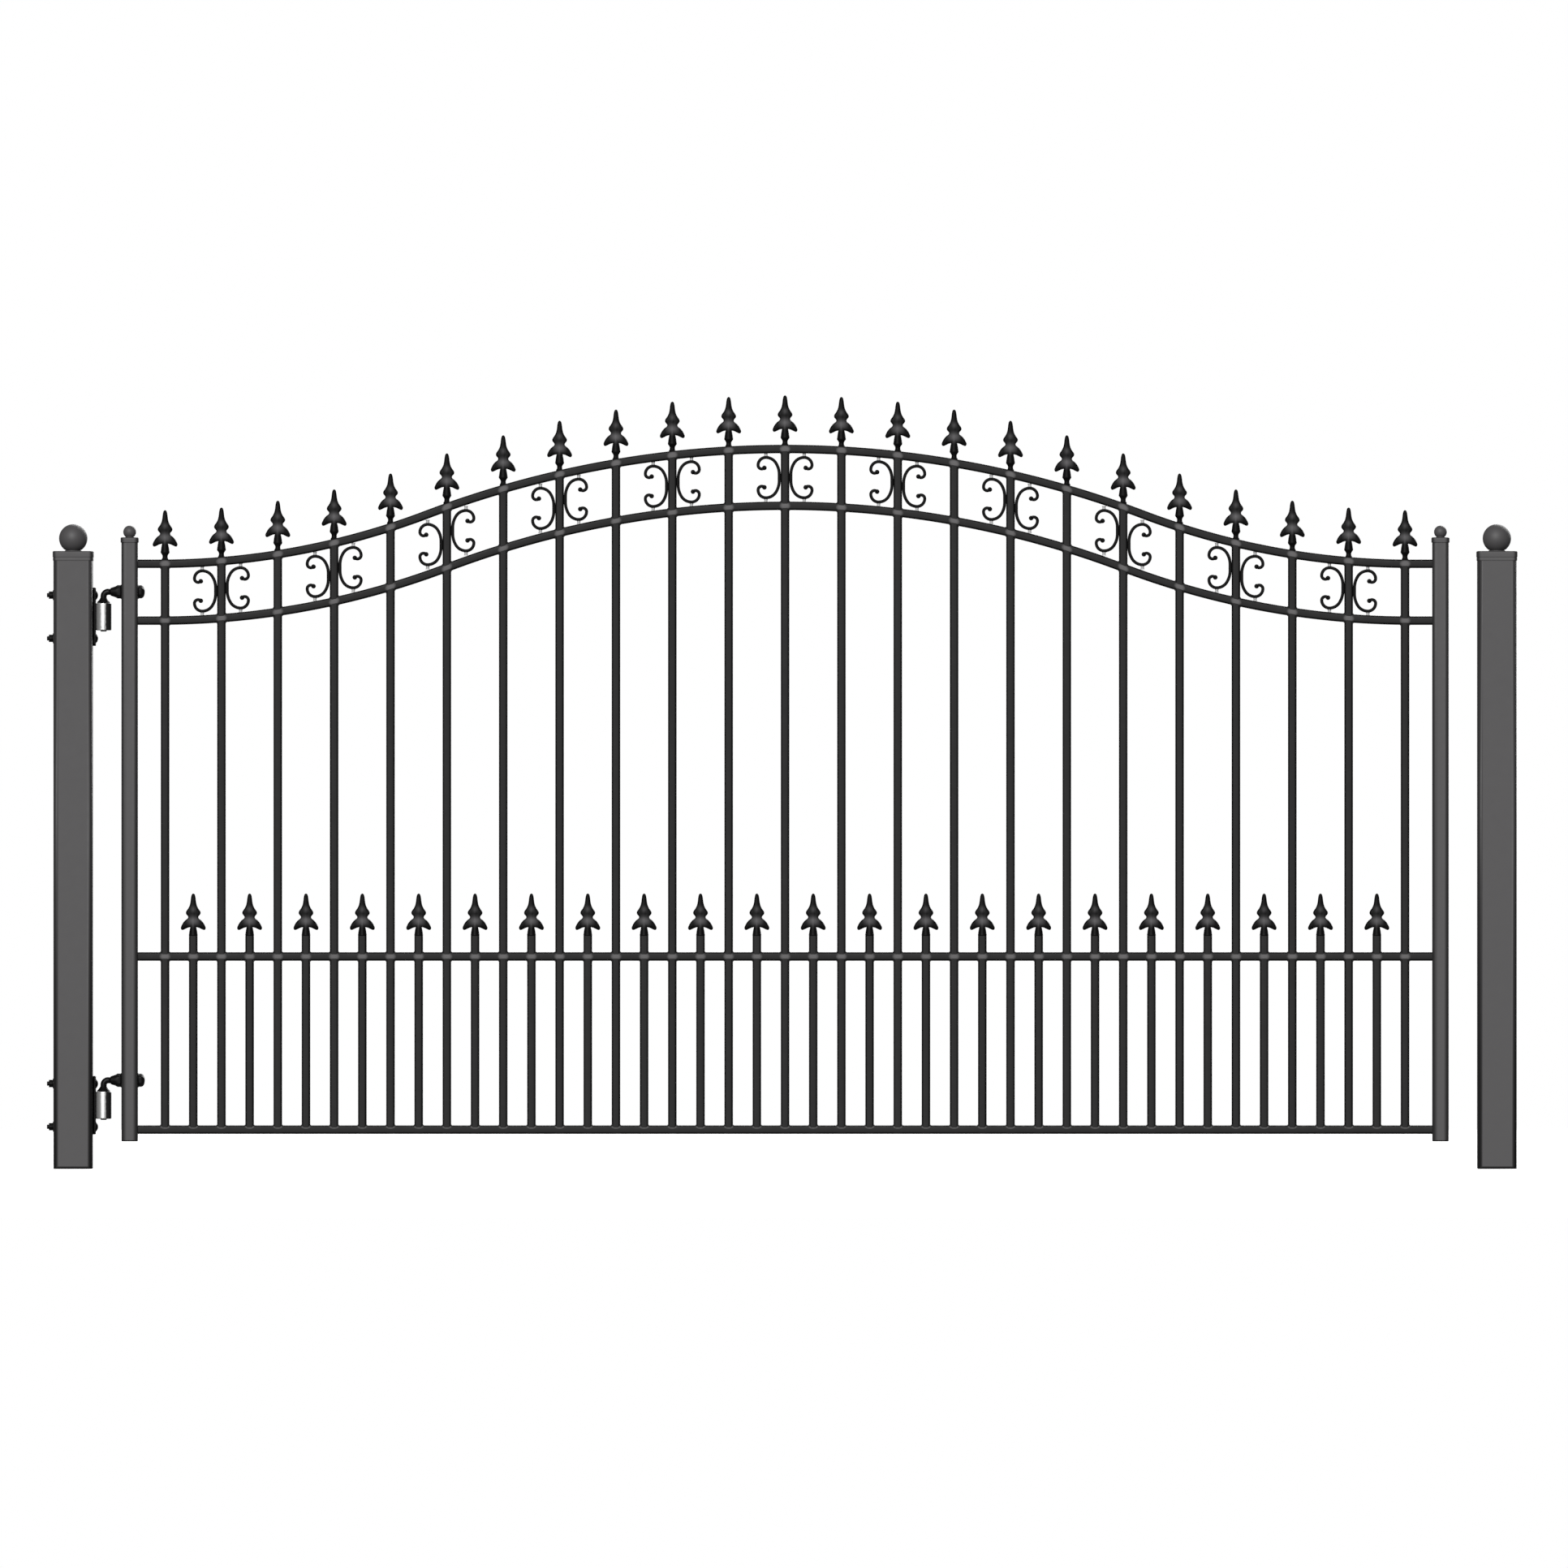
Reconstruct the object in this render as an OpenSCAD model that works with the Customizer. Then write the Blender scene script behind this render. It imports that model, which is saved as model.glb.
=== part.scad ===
// Single-leaf wrought iron driveway gate with an arched head, spear finials and C-scrolls,
// hung on two J-bolt hinges between two square posts with ball caps.
// Origin: centre of the hinge post's foot. X runs along the gate, Z up, the outside face looks to -Y.

/* [Posts] */
// Distance between the centres of the two posts
post_spacing = 3658; // [2600:1:4600]
// Side of the square post tube
post_w = 100; // [90:1:120]
// Wall of the post tube
post_wall = 3; // [2:0.5:8]
// Height of the top of the post tube above the ground
post_top = 1582; // [1500:1:1640]
// Thickness of the plate that closes the foot of a post
post_foot_t = 6; // [4:1:20]
// Depth of the skirt of a post cap
post_cap_skirt = 20; // [12:1:40]
// Thickness of the top of a post cap
post_cap_t = 4.5; // [2:0.5:8]
// Wall of the skirt of a post cap
post_cap_wall = 1.8; // [1:0.1:3]
// Depth of the lower band of the skirt, which steps in
post_cap_band = 9; // [4:0.5:11]
// Step of the lower band
post_cap_step = 0.7; // [0.2:0.1:0.8]
// Diameter of the ball on a post
post_ball_d = 73; // [40:1:95]
// Depth that the ball sits into its cap, cut flat there
post_ball_seat = 3.7; // [1:0.1:8]
// Wall of the hollow ball on a post
post_ball_wall = 3; // [1.5:0.5:6]

/* [Leaf frame] */
// Gap between the closing post and the leaf
closing_gap = 74; // [30:1:110]
// Height of the leaf's feet above the ground
ground_clearance = 70; // [40:1:120]
// Side of the square stile tube
stile_w = 42; // [30:1:50]
// Wall of the stile tube
stile_wall = 2.5; // [1.5:0.5:5]
// Height of the top of the stile tube above the ground
stile_top = 1619; // [1590:1:1700]
// Thickness of the plate that closes the foot of a stile
stile_foot_t = 3; // [2:0.5:8]
// Depth of the skirt of a stile cap
stile_cap_skirt = 10.5; // [8:0.5:30]
// Thickness of the top of a stile cap
stile_cap_t = 3; // [2:0.5:6]
// Wall of the skirt of a stile cap
stile_cap_wall = 1.9; // [1:0.1:3]
// Diameter of the ball on a stile
stile_ball_d = 33; // [20:1:42]
// Depth that the ball sits into its cap, cut flat there
stile_ball_seat = 2.7; // [1:0.1:5]
// Clearance all round between a tube and the cap that slips over it
cap_fit = 0.1; // [0.05:0.05:0.4]

/* [Rails and pickets] */
// Side of the square bar tube that rails and pickets are made of
bar_w = 22; // [16:1:26]
// Wall of the rail tube
rail_wall = 2; // [1:0.25:4]
// Wall of the picket tube
picket_wall = 1.5; // [1:0.25:4]
// Number of tall pickets
tall_count = 23; // [11:2:31]
// Distance from a stile to the centre line of the nearest tall picket
end_space = 70; // [50:1:90]
// Height of the centre of the bottom rail
bottom_rail_z = 100; // [90:1:180]
// Height of the centre of the middle rail
middle_rail_z = 545; // [400:1:800]
// Height of the centre of the upper arch rail at the stiles
arch_end_z = 1554; // [1500:1:1570]
// Rise of the upper arch rail's centre line
arch_rise = 295; // [200:1:400]
// Distance between the centre lines of the two arch rails, square to them
arch_gap = 146; // [140:1:180]
// Length of the level end of an arch rail at each stile
arch_flat = 53; // [20:1:120]
// Share of the rise and run that the crown arc takes from the two end arcs
crown_share = 0.572; // [0.4:0.01:0.7]
// Height of a short picket above the middle rail
short_rise = 42; // [20:1:120]

/* [Spears] */
// Height of a spear from its seat to its tip
spear_h = 127.5; // [100:0.5:180]
// Thickness of the blade at the barbs
spear_t = 12; // [8:0.5:18]
// Diameter of the round neck that a spear stands on
spear_neck_d = 13.5; // [10:0.5:18]
// Diameter of the bulb below the barbs
spear_bulb_d = 23; // [18:0.5:26]
// Height from the seat of a top spear to its bulb
spear_neck_h = 15; // [10:0.5:20]
// Width across the barbs
spear_w = 64; // [50:1:70]

/* [Scrolls] */
// Thickness of the flat bar that a scroll is bent from
scroll_t = 8; // [4:0.5:10]
// Depth of the flat bar, front to back
scroll_depth = 12; // [8:1:20]
// Half the length of the straight back that lies on the picket
scroll_back = 8.5; // [4:0.5:14]
// Centre line radius of the belly, next to the back
belly_r = 54; // [40:1:70]
// Turn of the belly in degrees
belly_turn = 33; // [20:1:45]
// Centre line radius of the shoulder, up to the top of the scroll
shoulder_r = 30.5; // [20:0.5:34]
// Centre line radius of the outer side of the curl
curl_r = 20; // [14:0.5:24]
// Centre line radius of the underside of the curl
inner_r = 9.5; // [7:0.5:12]
// Turn of the underside of the curl in degrees
inner_turn = 135; // [90:1:150]
// Diameter of the rounded end of a scroll
snub_d = 12; // [8:0.5:14]

/* [Hinges] */
// Height of the centre of the upper hinge barrel
upper_hinge_z = 1418; // [1200:1:1440]
// Height of the centre of the lower hinge barrel
lower_hinge_z = 163; // [150:1:400]
// Thickness of the hinge plate
plate_t = 8; // [6:1:12]
// Width of the hinge plate
plate_w = 50; // [40:1:80]
// Height of the hinge plate
plate_h = 150; // [140:1:200]
// Outside diameter of the hinge barrel
barrel_d = 40; // [30:1:50]
// Length of the hinge barrel
barrel_h = 70; // [50:1:90]
// Width of the saddle that joins the barrel to its plate
saddle_w = 24; // [12:1:30]
// Diameter of the J-bolt's rod and pin
rod_d = 16; // [12:1:20]
// Clearance all round between the pin and the bore of the barrel
pin_fit = 0.05; // [0.03:0.01:0.3]
// Height of the J-bolt's rod above the centre of the barrel
rod_rise = 64; // [60:1:80]
// Centre line radius of the J-bolt's bend
bend_r = 12; // [10:0.5:14]
// Gap between the J-bolt's collar and the top of the barrel
collar_gap = 0.3; // [0.2:0.1:1]
// Height of the J-bolt's collar
collar_h = 12; // [8:0.5:13]
// Diameter of the J-bolt's collar on the barrel
collar_d = 34; // [24:1:38]
// Length of the pin below the barrel
pin_below = 3; // [1:0.5:10]
// Gap between the hinge axis and the leaf
axis_to_leaf = 46; // [42:1:60]

/* [Bolts and nuts] */
// Diameter of the through bolts of a hinge plate
bolt_d = 12; // [8:1:14]
// Height of a through bolt above or below the centre of its hinge
bolt_rise = 55.5; // [50:0.5:60]
// Diameter of the domed head of a through bolt
bolt_head_d = 26; // [20:1:30]
// Height of the domed head of a through bolt
bolt_head_h = 6; // [4:0.5:7]
// Width across the flats of a through bolt's nut
bolt_nut_af = 19; // [15:1:22]
// Height of a through bolt's nut
bolt_nut_h = 10; // [7:0.5:12]
// Diameter of a through bolt's washer
bolt_washer_d = 26; // [20:1:32]
// Thickness of a through bolt's washer
bolt_washer_t = 2.5; // [1.5:0.5:4]
// Length of a through bolt beyond its nut
bolt_tip = 5; // [2:0.5:10]
// Clearance all round between a bolt or rod and its hole
hole_fit = 0.2; // [0.1:0.05:0.6]
// Width across the flats of a J-bolt's nut
rod_nut_af = 30; // [24:1:32]
// Length of the nut on the hinge side of the stile, flange not counted
rod_nut_h = 25; // [10:0.5:28]
// Length of the closed nut on the far side of the stile, flange not counted
cap_nut_h = 15; // [12:0.5:20]
// Diameter of the flange of a J-bolt's nut
rod_flange_d = 37; // [32:1:40]
// Thickness of the flange of a J-bolt's nut
rod_flange_t = 3; // [2:0.5:5]

/* [Hidden] */

POST_GREY = "#5c5a5b";
BAR_GREY = "#3c3a3b";
IRON_BLACK = "#1e1d1e";

// The hinge axis stands off the post by the plate and half the barrel.
axis_x = post_w / 2 + plate_t + barrel_d / 2;
leaf_left = axis_x + axis_to_leaf;
leaf_right = post_spacing - post_w / 2 - closing_gap;
inner_left = leaf_left + stile_w;
inner_right = leaf_right - stile_w;
inner_w = inner_right - inner_left;
leaf_mid = (inner_left + inner_right) / 2;

pitch = (inner_w - 2 * end_space) / (tall_count - 1);
tall_x = [for (i = [0 : tall_count - 1]) inner_left + end_space + i * pitch];
short_x = [for (i = [0 : tall_count - 2]) tall_x[i] + pitch / 2];
// Every second tall picket carries a pair of scrolls.
scroll_x = [for (i = [1 : 2 : tall_count - 1]) tall_x[i]];

// Arch: a level end, an end arc that bends up, a crown arc that bends over, and the same again.
arch_run = inner_w / 2 - arch_flat;
arch_sum = (arch_run * arch_run + arch_rise * arch_rise) / (2 * arch_rise);
crown_r = crown_share * arch_sum;
end_r = arch_sum - crown_r;
arch_turn = asin(arch_run / arch_sum);
end_steps = 16;
crown_steps = 22;
half_bar = bar_w / 2;
lower_offset = -arch_gap;

// Points of the half arch right of the middle, on the line that runs `off` outside its centre line.
function half_arch(off) = concat(
    [for (i = [0 : crown_steps])
        let (a = arch_turn * i / crown_steps)
        [(crown_r + off) * sin(a), arch_rise - crown_r + (crown_r + off) * cos(a)]],
    [for (i = [1 : end_steps])
        let (a = arch_turn * (1 - i / end_steps))
        [arch_run - (end_r - off) * sin(a), end_r - (end_r - off) * cos(a)]],
    [[inner_w / 2, off]]
);

function mirrored(points) = [for (p = points) [-p[0], p[1]]];
function reversed(points) = [for (i = [len(points) - 1 : -1 : 0]) points[i]];
function flipped(points) = [for (p = points) [p[0], -p[1]]];
function without_first(points) = [for (i = [1 : len(points) - 1]) points[i]];

// The whole line from stile to stile, left to right.
function full_arch(off) = concat(
    reversed(mirrored(without_first(half_arch(off)))),
    half_arch(off)
);

// Height of the line `off` outside the centre line, at a distance x from the middle.
function arch_height(x, off) =
    let (d = abs(x), cr = crown_r + off, er = end_r - off)
    d >= arch_run ? off
        : d > cr * sin(arch_turn) ? end_r - sqrt(er * er - pow(arch_run - d, 2))
        : arch_rise - crown_r + sqrt(cr * cr - d * d);

// ---------- shared shapes ----------

// Upright plate of the XZ outline, with its thickness centred on the gate's plane.
module upright(depth) {
    rotate([90, 0, 0])
        linear_extrude(height = depth, center = true)
            children();
}

// Square tube standing between two heights, centred on x.
module square_tube(x, w, wall, z0, z1) {
    translate([x, 0, z0])
        difference() {
            translate([-w / 2, -w / 2, 0])
                cube([w, w, z1 - z0]);
            translate([-w / 2 + wall, -w / 2 + wall, -1])
                cube([w - 2 * wall, w - 2 * wall, z1 - z0 + 2]);
        }
}

// Round rod along X between two places.
module rod_x(d, x0, x1, z) {
    translate([x0, 0, z])
        rotate([0, 90, 0])
            cylinder(d = d, h = x1 - x0, $fn = 48);
}

// Plate that closes the foot of a tube.
module foot_plate(x, w, z, t) {
    translate([x - w / 2, -w / 2, z])
        cube([w, w, t]);
}

// Cap that slips over a tube and rests on its top.
module slip_cap(x, w, top, skirt, t, wall) {
    inner = w + 2 * cap_fit;
    outer = inner + 2 * wall;
    translate([x, 0, top - skirt])
        difference() {
            translate([-outer / 2, -outer / 2, 0])
                cube([outer, outer, skirt + t]);
            translate([-inner / 2, -inner / 2, -1])
                cube([inner, inner, skirt + 1]);
        }
}

// Ball cut flat where it sits on its cap.
module seated_ball(x, d, z, seat) {
    translate([x, 0, z])
        intersection() {
            translate([0, 0, d / 2 - seat])
                sphere(d = d, $fn = 64);
            translate([-d, -d, 0])
                cube([2 * d, 2 * d, 2 * d]);
        }
}

// ---------- posts ----------

module post_foot(x) {
    color(POST_GREY)
        foot_plate(x, post_w, 0, post_foot_t);
}

// The lower band of the skirt steps in all round.
module post_cap(x) {
    outer = post_w + 2 * (cap_fit + post_cap_wall);
    band = outer - 2 * post_cap_step;
    base = post_top - post_cap_skirt;
    color(POST_GREY)
        difference() {
            slip_cap(x, post_w, post_top, post_cap_skirt, post_cap_t, post_cap_wall);
            translate([x, 0, base - 1])
                difference() {
                    translate([-outer, -outer, 0])
                        cube([2 * outer, 2 * outer, post_cap_band + 1]);
                    translate([-band / 2, -band / 2, -1])
                        cube([band, band, post_cap_band + 3]);
                }
        }
}

// Hollow ball, open inside where it is cut flat.
module post_ball(x) {
    base = post_top + post_cap_t;
    color(POST_GREY)
        difference() {
            seated_ball(x, post_ball_d, base, post_ball_seat);
            translate([x, 0, base + post_ball_d / 2 - post_ball_seat])
                sphere(d = post_ball_d - 2 * post_ball_wall, $fn = 64);
        }
}

module hinge_post() {
    color(POST_GREY)
        difference() {
            square_tube(0, post_w, post_wall, post_foot_t, post_top);
            for (z = [upper_hinge_z, lower_hinge_z], side = [-1, 1])
                rod_x(bolt_d + 2 * hole_fit, -post_w, post_w, z + side * bolt_rise);
        }
}

module closing_post() {
    color(POST_GREY)
        square_tube(post_spacing, post_w, post_wall, post_foot_t, post_top);
}

module hinge_post_foot() {
    post_foot(0);
}

module hinge_post_cap() {
    post_cap(0);
}

module hinge_post_ball() {
    post_ball(0);
}

module closing_post_foot() {
    post_foot(post_spacing);
}

module closing_post_cap() {
    post_cap(post_spacing);
}

module closing_post_ball() {
    post_ball(post_spacing);
}

// ---------- hinges on the post ----------

module hinge_plate(z) {
    color(IRON_BLACK)
        difference() {
            translate([post_w / 2, -plate_w / 2, z - plate_h / 2])
                cube([plate_t, plate_w, plate_h]);
            for (side = [-1, 1])
                rod_x(bolt_d + 2 * hole_fit, post_w / 2 - 1, post_w / 2 + plate_t + 1, z + side * bolt_rise);
        }
}

module hinge_barrel(z) {
    color(IRON_BLACK)
        translate([axis_x, 0, z - barrel_h / 2])
            difference() {
                union() {
                    cylinder(d = barrel_d, h = barrel_h, $fn = 64);
                    translate([-barrel_d / 2, -saddle_w / 2, 0])
                        cube([barrel_d / 2, saddle_w, barrel_h]);
                }
                translate([0, 0, -1])
                    cylinder(d = rod_d + 2 * pin_fit, h = barrel_h + 2, $fn = 48);
            }
}

// Carriage bolt from the plate through the whole post, turned from its half outline.
module through_bolt(z) {
    shank = post_w + plate_t + bolt_washer_t + bolt_nut_h + bolt_tip;
    head_r = (pow(bolt_head_d / 2, 2) + pow(bolt_head_h, 2)) / (2 * bolt_head_h);
    translate([post_w / 2 + plate_t, 0, z])
        rotate([0, 90, 0])
            rotate_extrude($fn = 64) {
                translate([0, -shank])
                    square([bolt_d / 2, shank]);
                intersection() {
                    translate([0, bolt_head_h - head_r])
                        circle(r = head_r, $fn = 64);
                    square([bolt_head_d, bolt_head_h + 1]);
                }
            }
}

// Washer and nut on the far side of the post, as one flanged nut.
module through_nut(z) {
    face = -post_w / 2;
    difference() {
        union() {
            rod_x(bolt_washer_d, face - bolt_washer_t, face, z);
            translate([face - bolt_washer_t - bolt_nut_h, 0, z])
                rotate([0, 90, 0])
                    cylinder(d = bolt_nut_af / cos(30), h = bolt_nut_h + 1, $fn = 6);
        }
        rod_x(bolt_d + 2 * pin_fit, face - 40, face + 10, z);
    }
}

module hinge_bolts(z) {
    color(IRON_BLACK)
        for (side = [-1, 1])
            through_bolt(z + side * bolt_rise);
}

module hinge_nuts(z) {
    color(IRON_BLACK)
        for (side = [-1, 1])
            through_nut(z + side * bolt_rise);
}

module upper_hinge_plate() {
    hinge_plate(upper_hinge_z);
}

module upper_hinge_barrel() {
    hinge_barrel(upper_hinge_z);
}

module upper_hinge_bolts() {
    hinge_bolts(upper_hinge_z);
}

module upper_hinge_nuts() {
    hinge_nuts(upper_hinge_z);
}

module lower_hinge_plate() {
    hinge_plate(lower_hinge_z);
}

module lower_hinge_barrel() {
    hinge_barrel(lower_hinge_z);
}

module lower_hinge_bolts() {
    hinge_bolts(lower_hinge_z);
}

module lower_hinge_nuts() {
    hinge_nuts(lower_hinge_z);
}

// ---------- J-bolts on the leaf ----------

// Pin down through the barrel, a collar above it, a bend and a rod through the stile.
module j_bolt(z) {
    rod_z = z + rod_rise;
    collar_z = z + barrel_h / 2 + collar_gap;
    rod_end = inner_left + rod_flange_t + cap_nut_h / 2;
    color(IRON_BLACK)
        union() {
            translate([axis_x, 0, z - barrel_h / 2 - pin_below])
                cylinder(d = rod_d, h = rod_z - bend_r - z + barrel_h / 2 + pin_below, $fn = 48);
            translate([axis_x, 0, collar_z])
                cylinder(d1 = collar_d, d2 = rod_d + 2, h = collar_h, $fn = 64);
            translate([axis_x + bend_r, 0, rod_z - bend_r])
                rotate([90, 0, 0])
                    rotate([0, 0, 90])
                        rotate_extrude(angle = 90, $fn = 64)
                            translate([bend_r, 0])
                                circle(d = rod_d, $fn = 48);
            rod_x(rod_d, axis_x + bend_r, rod_end, rod_z);
        }
}

// Flanged nut with a tapered hexagon, open where the rod runs on.
module rod_nut(z) {
    flange_x = leaf_left - rod_flange_t;
    difference() {
        union() {
            rod_x(rod_flange_d, flange_x, leaf_left, z);
            intersection() {
                translate([flange_x - rod_nut_h, 0, z])
                    rotate([0, 90, 0])
                        cylinder(d = rod_nut_af / cos(30), h = rod_nut_h + 1, $fn = 6);
                translate([flange_x - rod_nut_h, 0, z])
                    rotate([0, 90, 0])
                        cylinder(d1 = rod_d + 4, d2 = rod_flange_d, h = rod_nut_h + 1, $fn = 64);
            }
        }
        rod_x(rod_d + 2 * pin_fit, flange_x - rod_nut_h - 5, leaf_left + 5, z);
    }
}

// Closed nut with a domed end over the end of the rod.
module cap_nut(z) {
    difference() {
        union() {
            rod_x(rod_flange_d, inner_left, inner_left + rod_flange_t, z);
            intersection() {
                translate([inner_left + 1, 0, z])
                    rotate([0, 90, 0])
                        cylinder(d = rod_nut_af / cos(30), h = cap_nut_h + rod_flange_t, $fn = 6);
                translate([inner_left + rod_flange_t + cap_nut_h - rod_nut_af * 0.62, 0, z])
                    sphere(r = rod_nut_af * 0.62, $fn = 64);
            }
        }
        rod_x(rod_d + 2 * pin_fit, inner_left - 5, inner_left + rod_flange_t + cap_nut_h / 2 + 0.5, z);
    }
}

module j_bolt_nuts(z) {
    color(IRON_BLACK) {
        rod_nut(z + rod_rise);
        cap_nut(z + rod_rise);
    }
}

module upper_j_bolt() {
    j_bolt(upper_hinge_z);
}

module upper_j_bolt_nuts() {
    j_bolt_nuts(upper_hinge_z);
}

module lower_j_bolt() {
    j_bolt(lower_hinge_z);
}

module lower_j_bolt_nuts() {
    j_bolt_nuts(lower_hinge_z);
}

// ---------- stiles ----------

hinge_stile_x = leaf_left + stile_w / 2;
free_stile_x = leaf_right - stile_w / 2;

module stile_foot(x) {
    color(POST_GREY)
        foot_plate(x, stile_w, ground_clearance, stile_foot_t);
}

module stile_cap(x) {
    color(POST_GREY)
        slip_cap(x, stile_w, stile_top, stile_cap_skirt, stile_cap_t, stile_cap_wall);
}

module stile_ball(x) {
    color(POST_GREY)
        seated_ball(x, stile_ball_d, stile_top + stile_cap_t, stile_ball_seat);
}

module hinge_stile() {
    color(POST_GREY)
        difference() {
            square_tube(hinge_stile_x, stile_w, stile_wall, ground_clearance + stile_foot_t, stile_top);
            for (z = [upper_hinge_z, lower_hinge_z])
                rod_x(rod_d + 2 * hole_fit, leaf_left - 10, inner_left + 10, z + rod_rise);
        }
}

module free_stile() {
    color(POST_GREY)
        square_tube(free_stile_x, stile_w, stile_wall, ground_clearance + stile_foot_t, stile_top);
}

module hinge_stile_foot() {
    stile_foot(hinge_stile_x);
}

module hinge_stile_cap() {
    stile_cap(hinge_stile_x);
}

module hinge_stile_ball() {
    stile_ball(hinge_stile_x);
}

module free_stile_foot() {
    stile_foot(free_stile_x);
}

module free_stile_cap() {
    stile_cap(free_stile_x);
}

module free_stile_ball() {
    stile_ball(free_stile_x);
}

// ---------- rails ----------

module level_rail(z) {
    color(BAR_GREY)
        translate([inner_left, 0, z])
            difference() {
                translate([0, -half_bar, -half_bar])
                    cube([inner_w, bar_w, bar_w]);
                translate([-1, -half_bar + rail_wall, -half_bar + rail_wall])
                    cube([inner_w + 2, bar_w - 2 * rail_wall, bar_w - 2 * rail_wall]);
            }
}

// Band of the arch between two offsets from the centre line.
module arch_band(low, high) {
    polygon(concat(full_arch(high), reversed(full_arch(low))));
}

module arch_rail(off) {
    color(BAR_GREY)
        translate([leaf_mid, 0, arch_end_z])
            difference() {
                upright(bar_w)
                    arch_band(off - half_bar, off + half_bar);
                upright(bar_w - 2 * rail_wall)
                    arch_band(off - half_bar + rail_wall, off + half_bar - rail_wall);
            }
}

module bottom_rail() {
    level_rail(bottom_rail_z);
}

module middle_rail() {
    level_rail(middle_rail_z);
}

module lower_arch_rail() {
    arch_rail(lower_offset);
}

module upper_arch_rail() {
    arch_rail(0);
}

// ---------- pickets ----------

// Area under one line of the arch, down to a height that is low enough for any picket.
module below_arch(off, low) {
    polygon(concat(full_arch(off), [[inner_w / 2, low], [-inner_w / 2, low]]));
}

module lower_pickets() {
    color(BAR_GREY)
        for (x = concat(tall_x, short_x))
            square_tube(x, bar_w, picket_wall, bottom_rail_z + half_bar, middle_rail_z - half_bar);
}

// Each short picket is closed at the top, where its spear stands.
module short_pickets() {
    bore = bar_w - 2 * picket_wall;
    color(BAR_GREY)
        for (x = short_x)
            translate([x, 0, middle_rail_z + half_bar])
                difference() {
                    translate([-half_bar, -half_bar, 0])
                        cube([bar_w, bar_w, short_rise]);
                    translate([-bore / 2, -bore / 2, -1])
                        cube([bore, bore, short_rise + 1 - picket_wall]);
                }
}

// Each top is cut to the slope of the rail above it.
module upper_pickets() {
    color(BAR_GREY)
        intersection() {
            for (x = tall_x)
                square_tube(x, bar_w, picket_wall, middle_rail_z + half_bar, arch_end_z + arch_rise);
            translate([leaf_mid, 0, arch_end_z])
                upright(2 * bar_w)
                    below_arch(lower_offset - half_bar, middle_rail_z - arch_end_z);
        }
}

module arch_pickets() {
    color(BAR_GREY)
        intersection() {
            for (x = tall_x)
                square_tube(x, bar_w, picket_wall, middle_rail_z, arch_end_z + arch_rise);
            translate([leaf_mid, 0, arch_end_z])
                upright(2 * bar_w)
                    arch_band(lower_offset + half_bar, -half_bar);
        }
}

// ---------- spears ----------

// Right half of the blade's outline, from the tip down to the hollow under the barb.
// Heights are measured down from the tip.
function blade_side() = let (w = spear_w / 2) [
    [2.0, 0.6], [4.2, 3.5], [6.0, 12], [7.2, 22], [9.2, 31], [13.0, 39], [17.6, 45.5],
    [19.0, 50], [18.0, 54], [14.2, 58.5], [13.2, 61.5], [14.8, 65],
    [w * 0.66, 70], [w * 0.84, 77], [w * 0.98, 86], [w, 90], [w * 0.95, 93.5],
    [w * 0.84, 94.5], [w * 0.62, 91.5], [w * 0.42, 88.5], [spear_neck_d * 0.3, 86.5]
];

module blade_outline() {
    side = blade_side();
    polygon(concat(
        [for (p = side) [p[0], spear_h - p[1]]],
        reversed([for (p = side) [-p[0], spear_h - p[1]]])
    ));
}

// Side view of the blade: thin at the tip and at the ends of the barbs.
module blade_profile() {
    half = spear_t / 2;
    rotate([90, 0, 90])
        linear_extrude(height = 2 * spear_w, center = true)
            polygon([
                [-half * 0.6, spear_h - 95], [-half, spear_h - 70], [-half * 0.8, spear_h - 50],
                [-half * 0.5, spear_h - 20], [-half * 0.25, spear_h],
                [half * 0.25, spear_h], [half * 0.5, spear_h - 20], [half * 0.8, spear_h - 50],
                [half, spear_h - 70], [half * 0.6, spear_h - 95]
            ]);
}

spear_neck_r = spear_neck_d / 2;
bulb_r = spear_bulb_d / 2;
// Height of the widest place of the bulb, where a short spear is cut off flat.
bulb_z = spear_neck_h + 3;
// Half outline of the round neck, from below the rail's surface up to the bulb.
neck_side = [
    [0, -spear_neck_r], [spear_neck_r, -spear_neck_r],
    [spear_neck_r, spear_neck_h - 4], [bulb_r * 0.85, spear_neck_h]
];
// Half outline of the flat foot of a short spear.
foot_side = [[0, bulb_z], [bulb_r * 0.86, bulb_z]];

// Teardrop bulb on its foot, turned about the spear's axis.
module spear_body(foot) {
    rotate_extrude($fn = 32)
        polygon(concat(foot, [
            [bulb_r, bulb_z + 1.5], [bulb_r * 0.94, bulb_z + 5], [bulb_r * 0.85, bulb_z + 13],
            [bulb_r * 0.62, bulb_z + 26], [bulb_r * 0.4, bulb_z + 37], [0, bulb_z + 47]
        ]));
}

module spear(foot) {
    union() {
        intersection() {
            upright(spear_t)
                blade_outline();
            blade_profile();
        }
        spear_body(foot);
    }
}

// The necks are cut to the slope of the rail they stand on.
module top_spears() {
    color(IRON_BLACK)
        difference() {
            for (x = tall_x)
                translate([x, 0, arch_end_z + arch_height(x - leaf_mid, half_bar)])
                    spear(neck_side);
            translate([leaf_mid, 0, arch_end_z])
                upright(2 * bar_w)
                    below_arch(half_bar, -arch_gap);
        }
}

// These have no neck: the bulb stands on the closed top of a short picket.
module short_spears() {
    color(IRON_BLACK)
        for (x = short_x)
            translate([x, 0, middle_rail_z + half_bar + short_rise - bulb_z])
                spear(foot_side);
}

// ---------- scrolls ----------

// Arcs from the back to the rounded end: centre line radius and turn.
scroll_arcs = [
    [belly_r, belly_turn], [shoulder_r, 90 - belly_turn], [curl_r, 90], [inner_r, inner_turn]
];
arc_step = 15;

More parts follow.
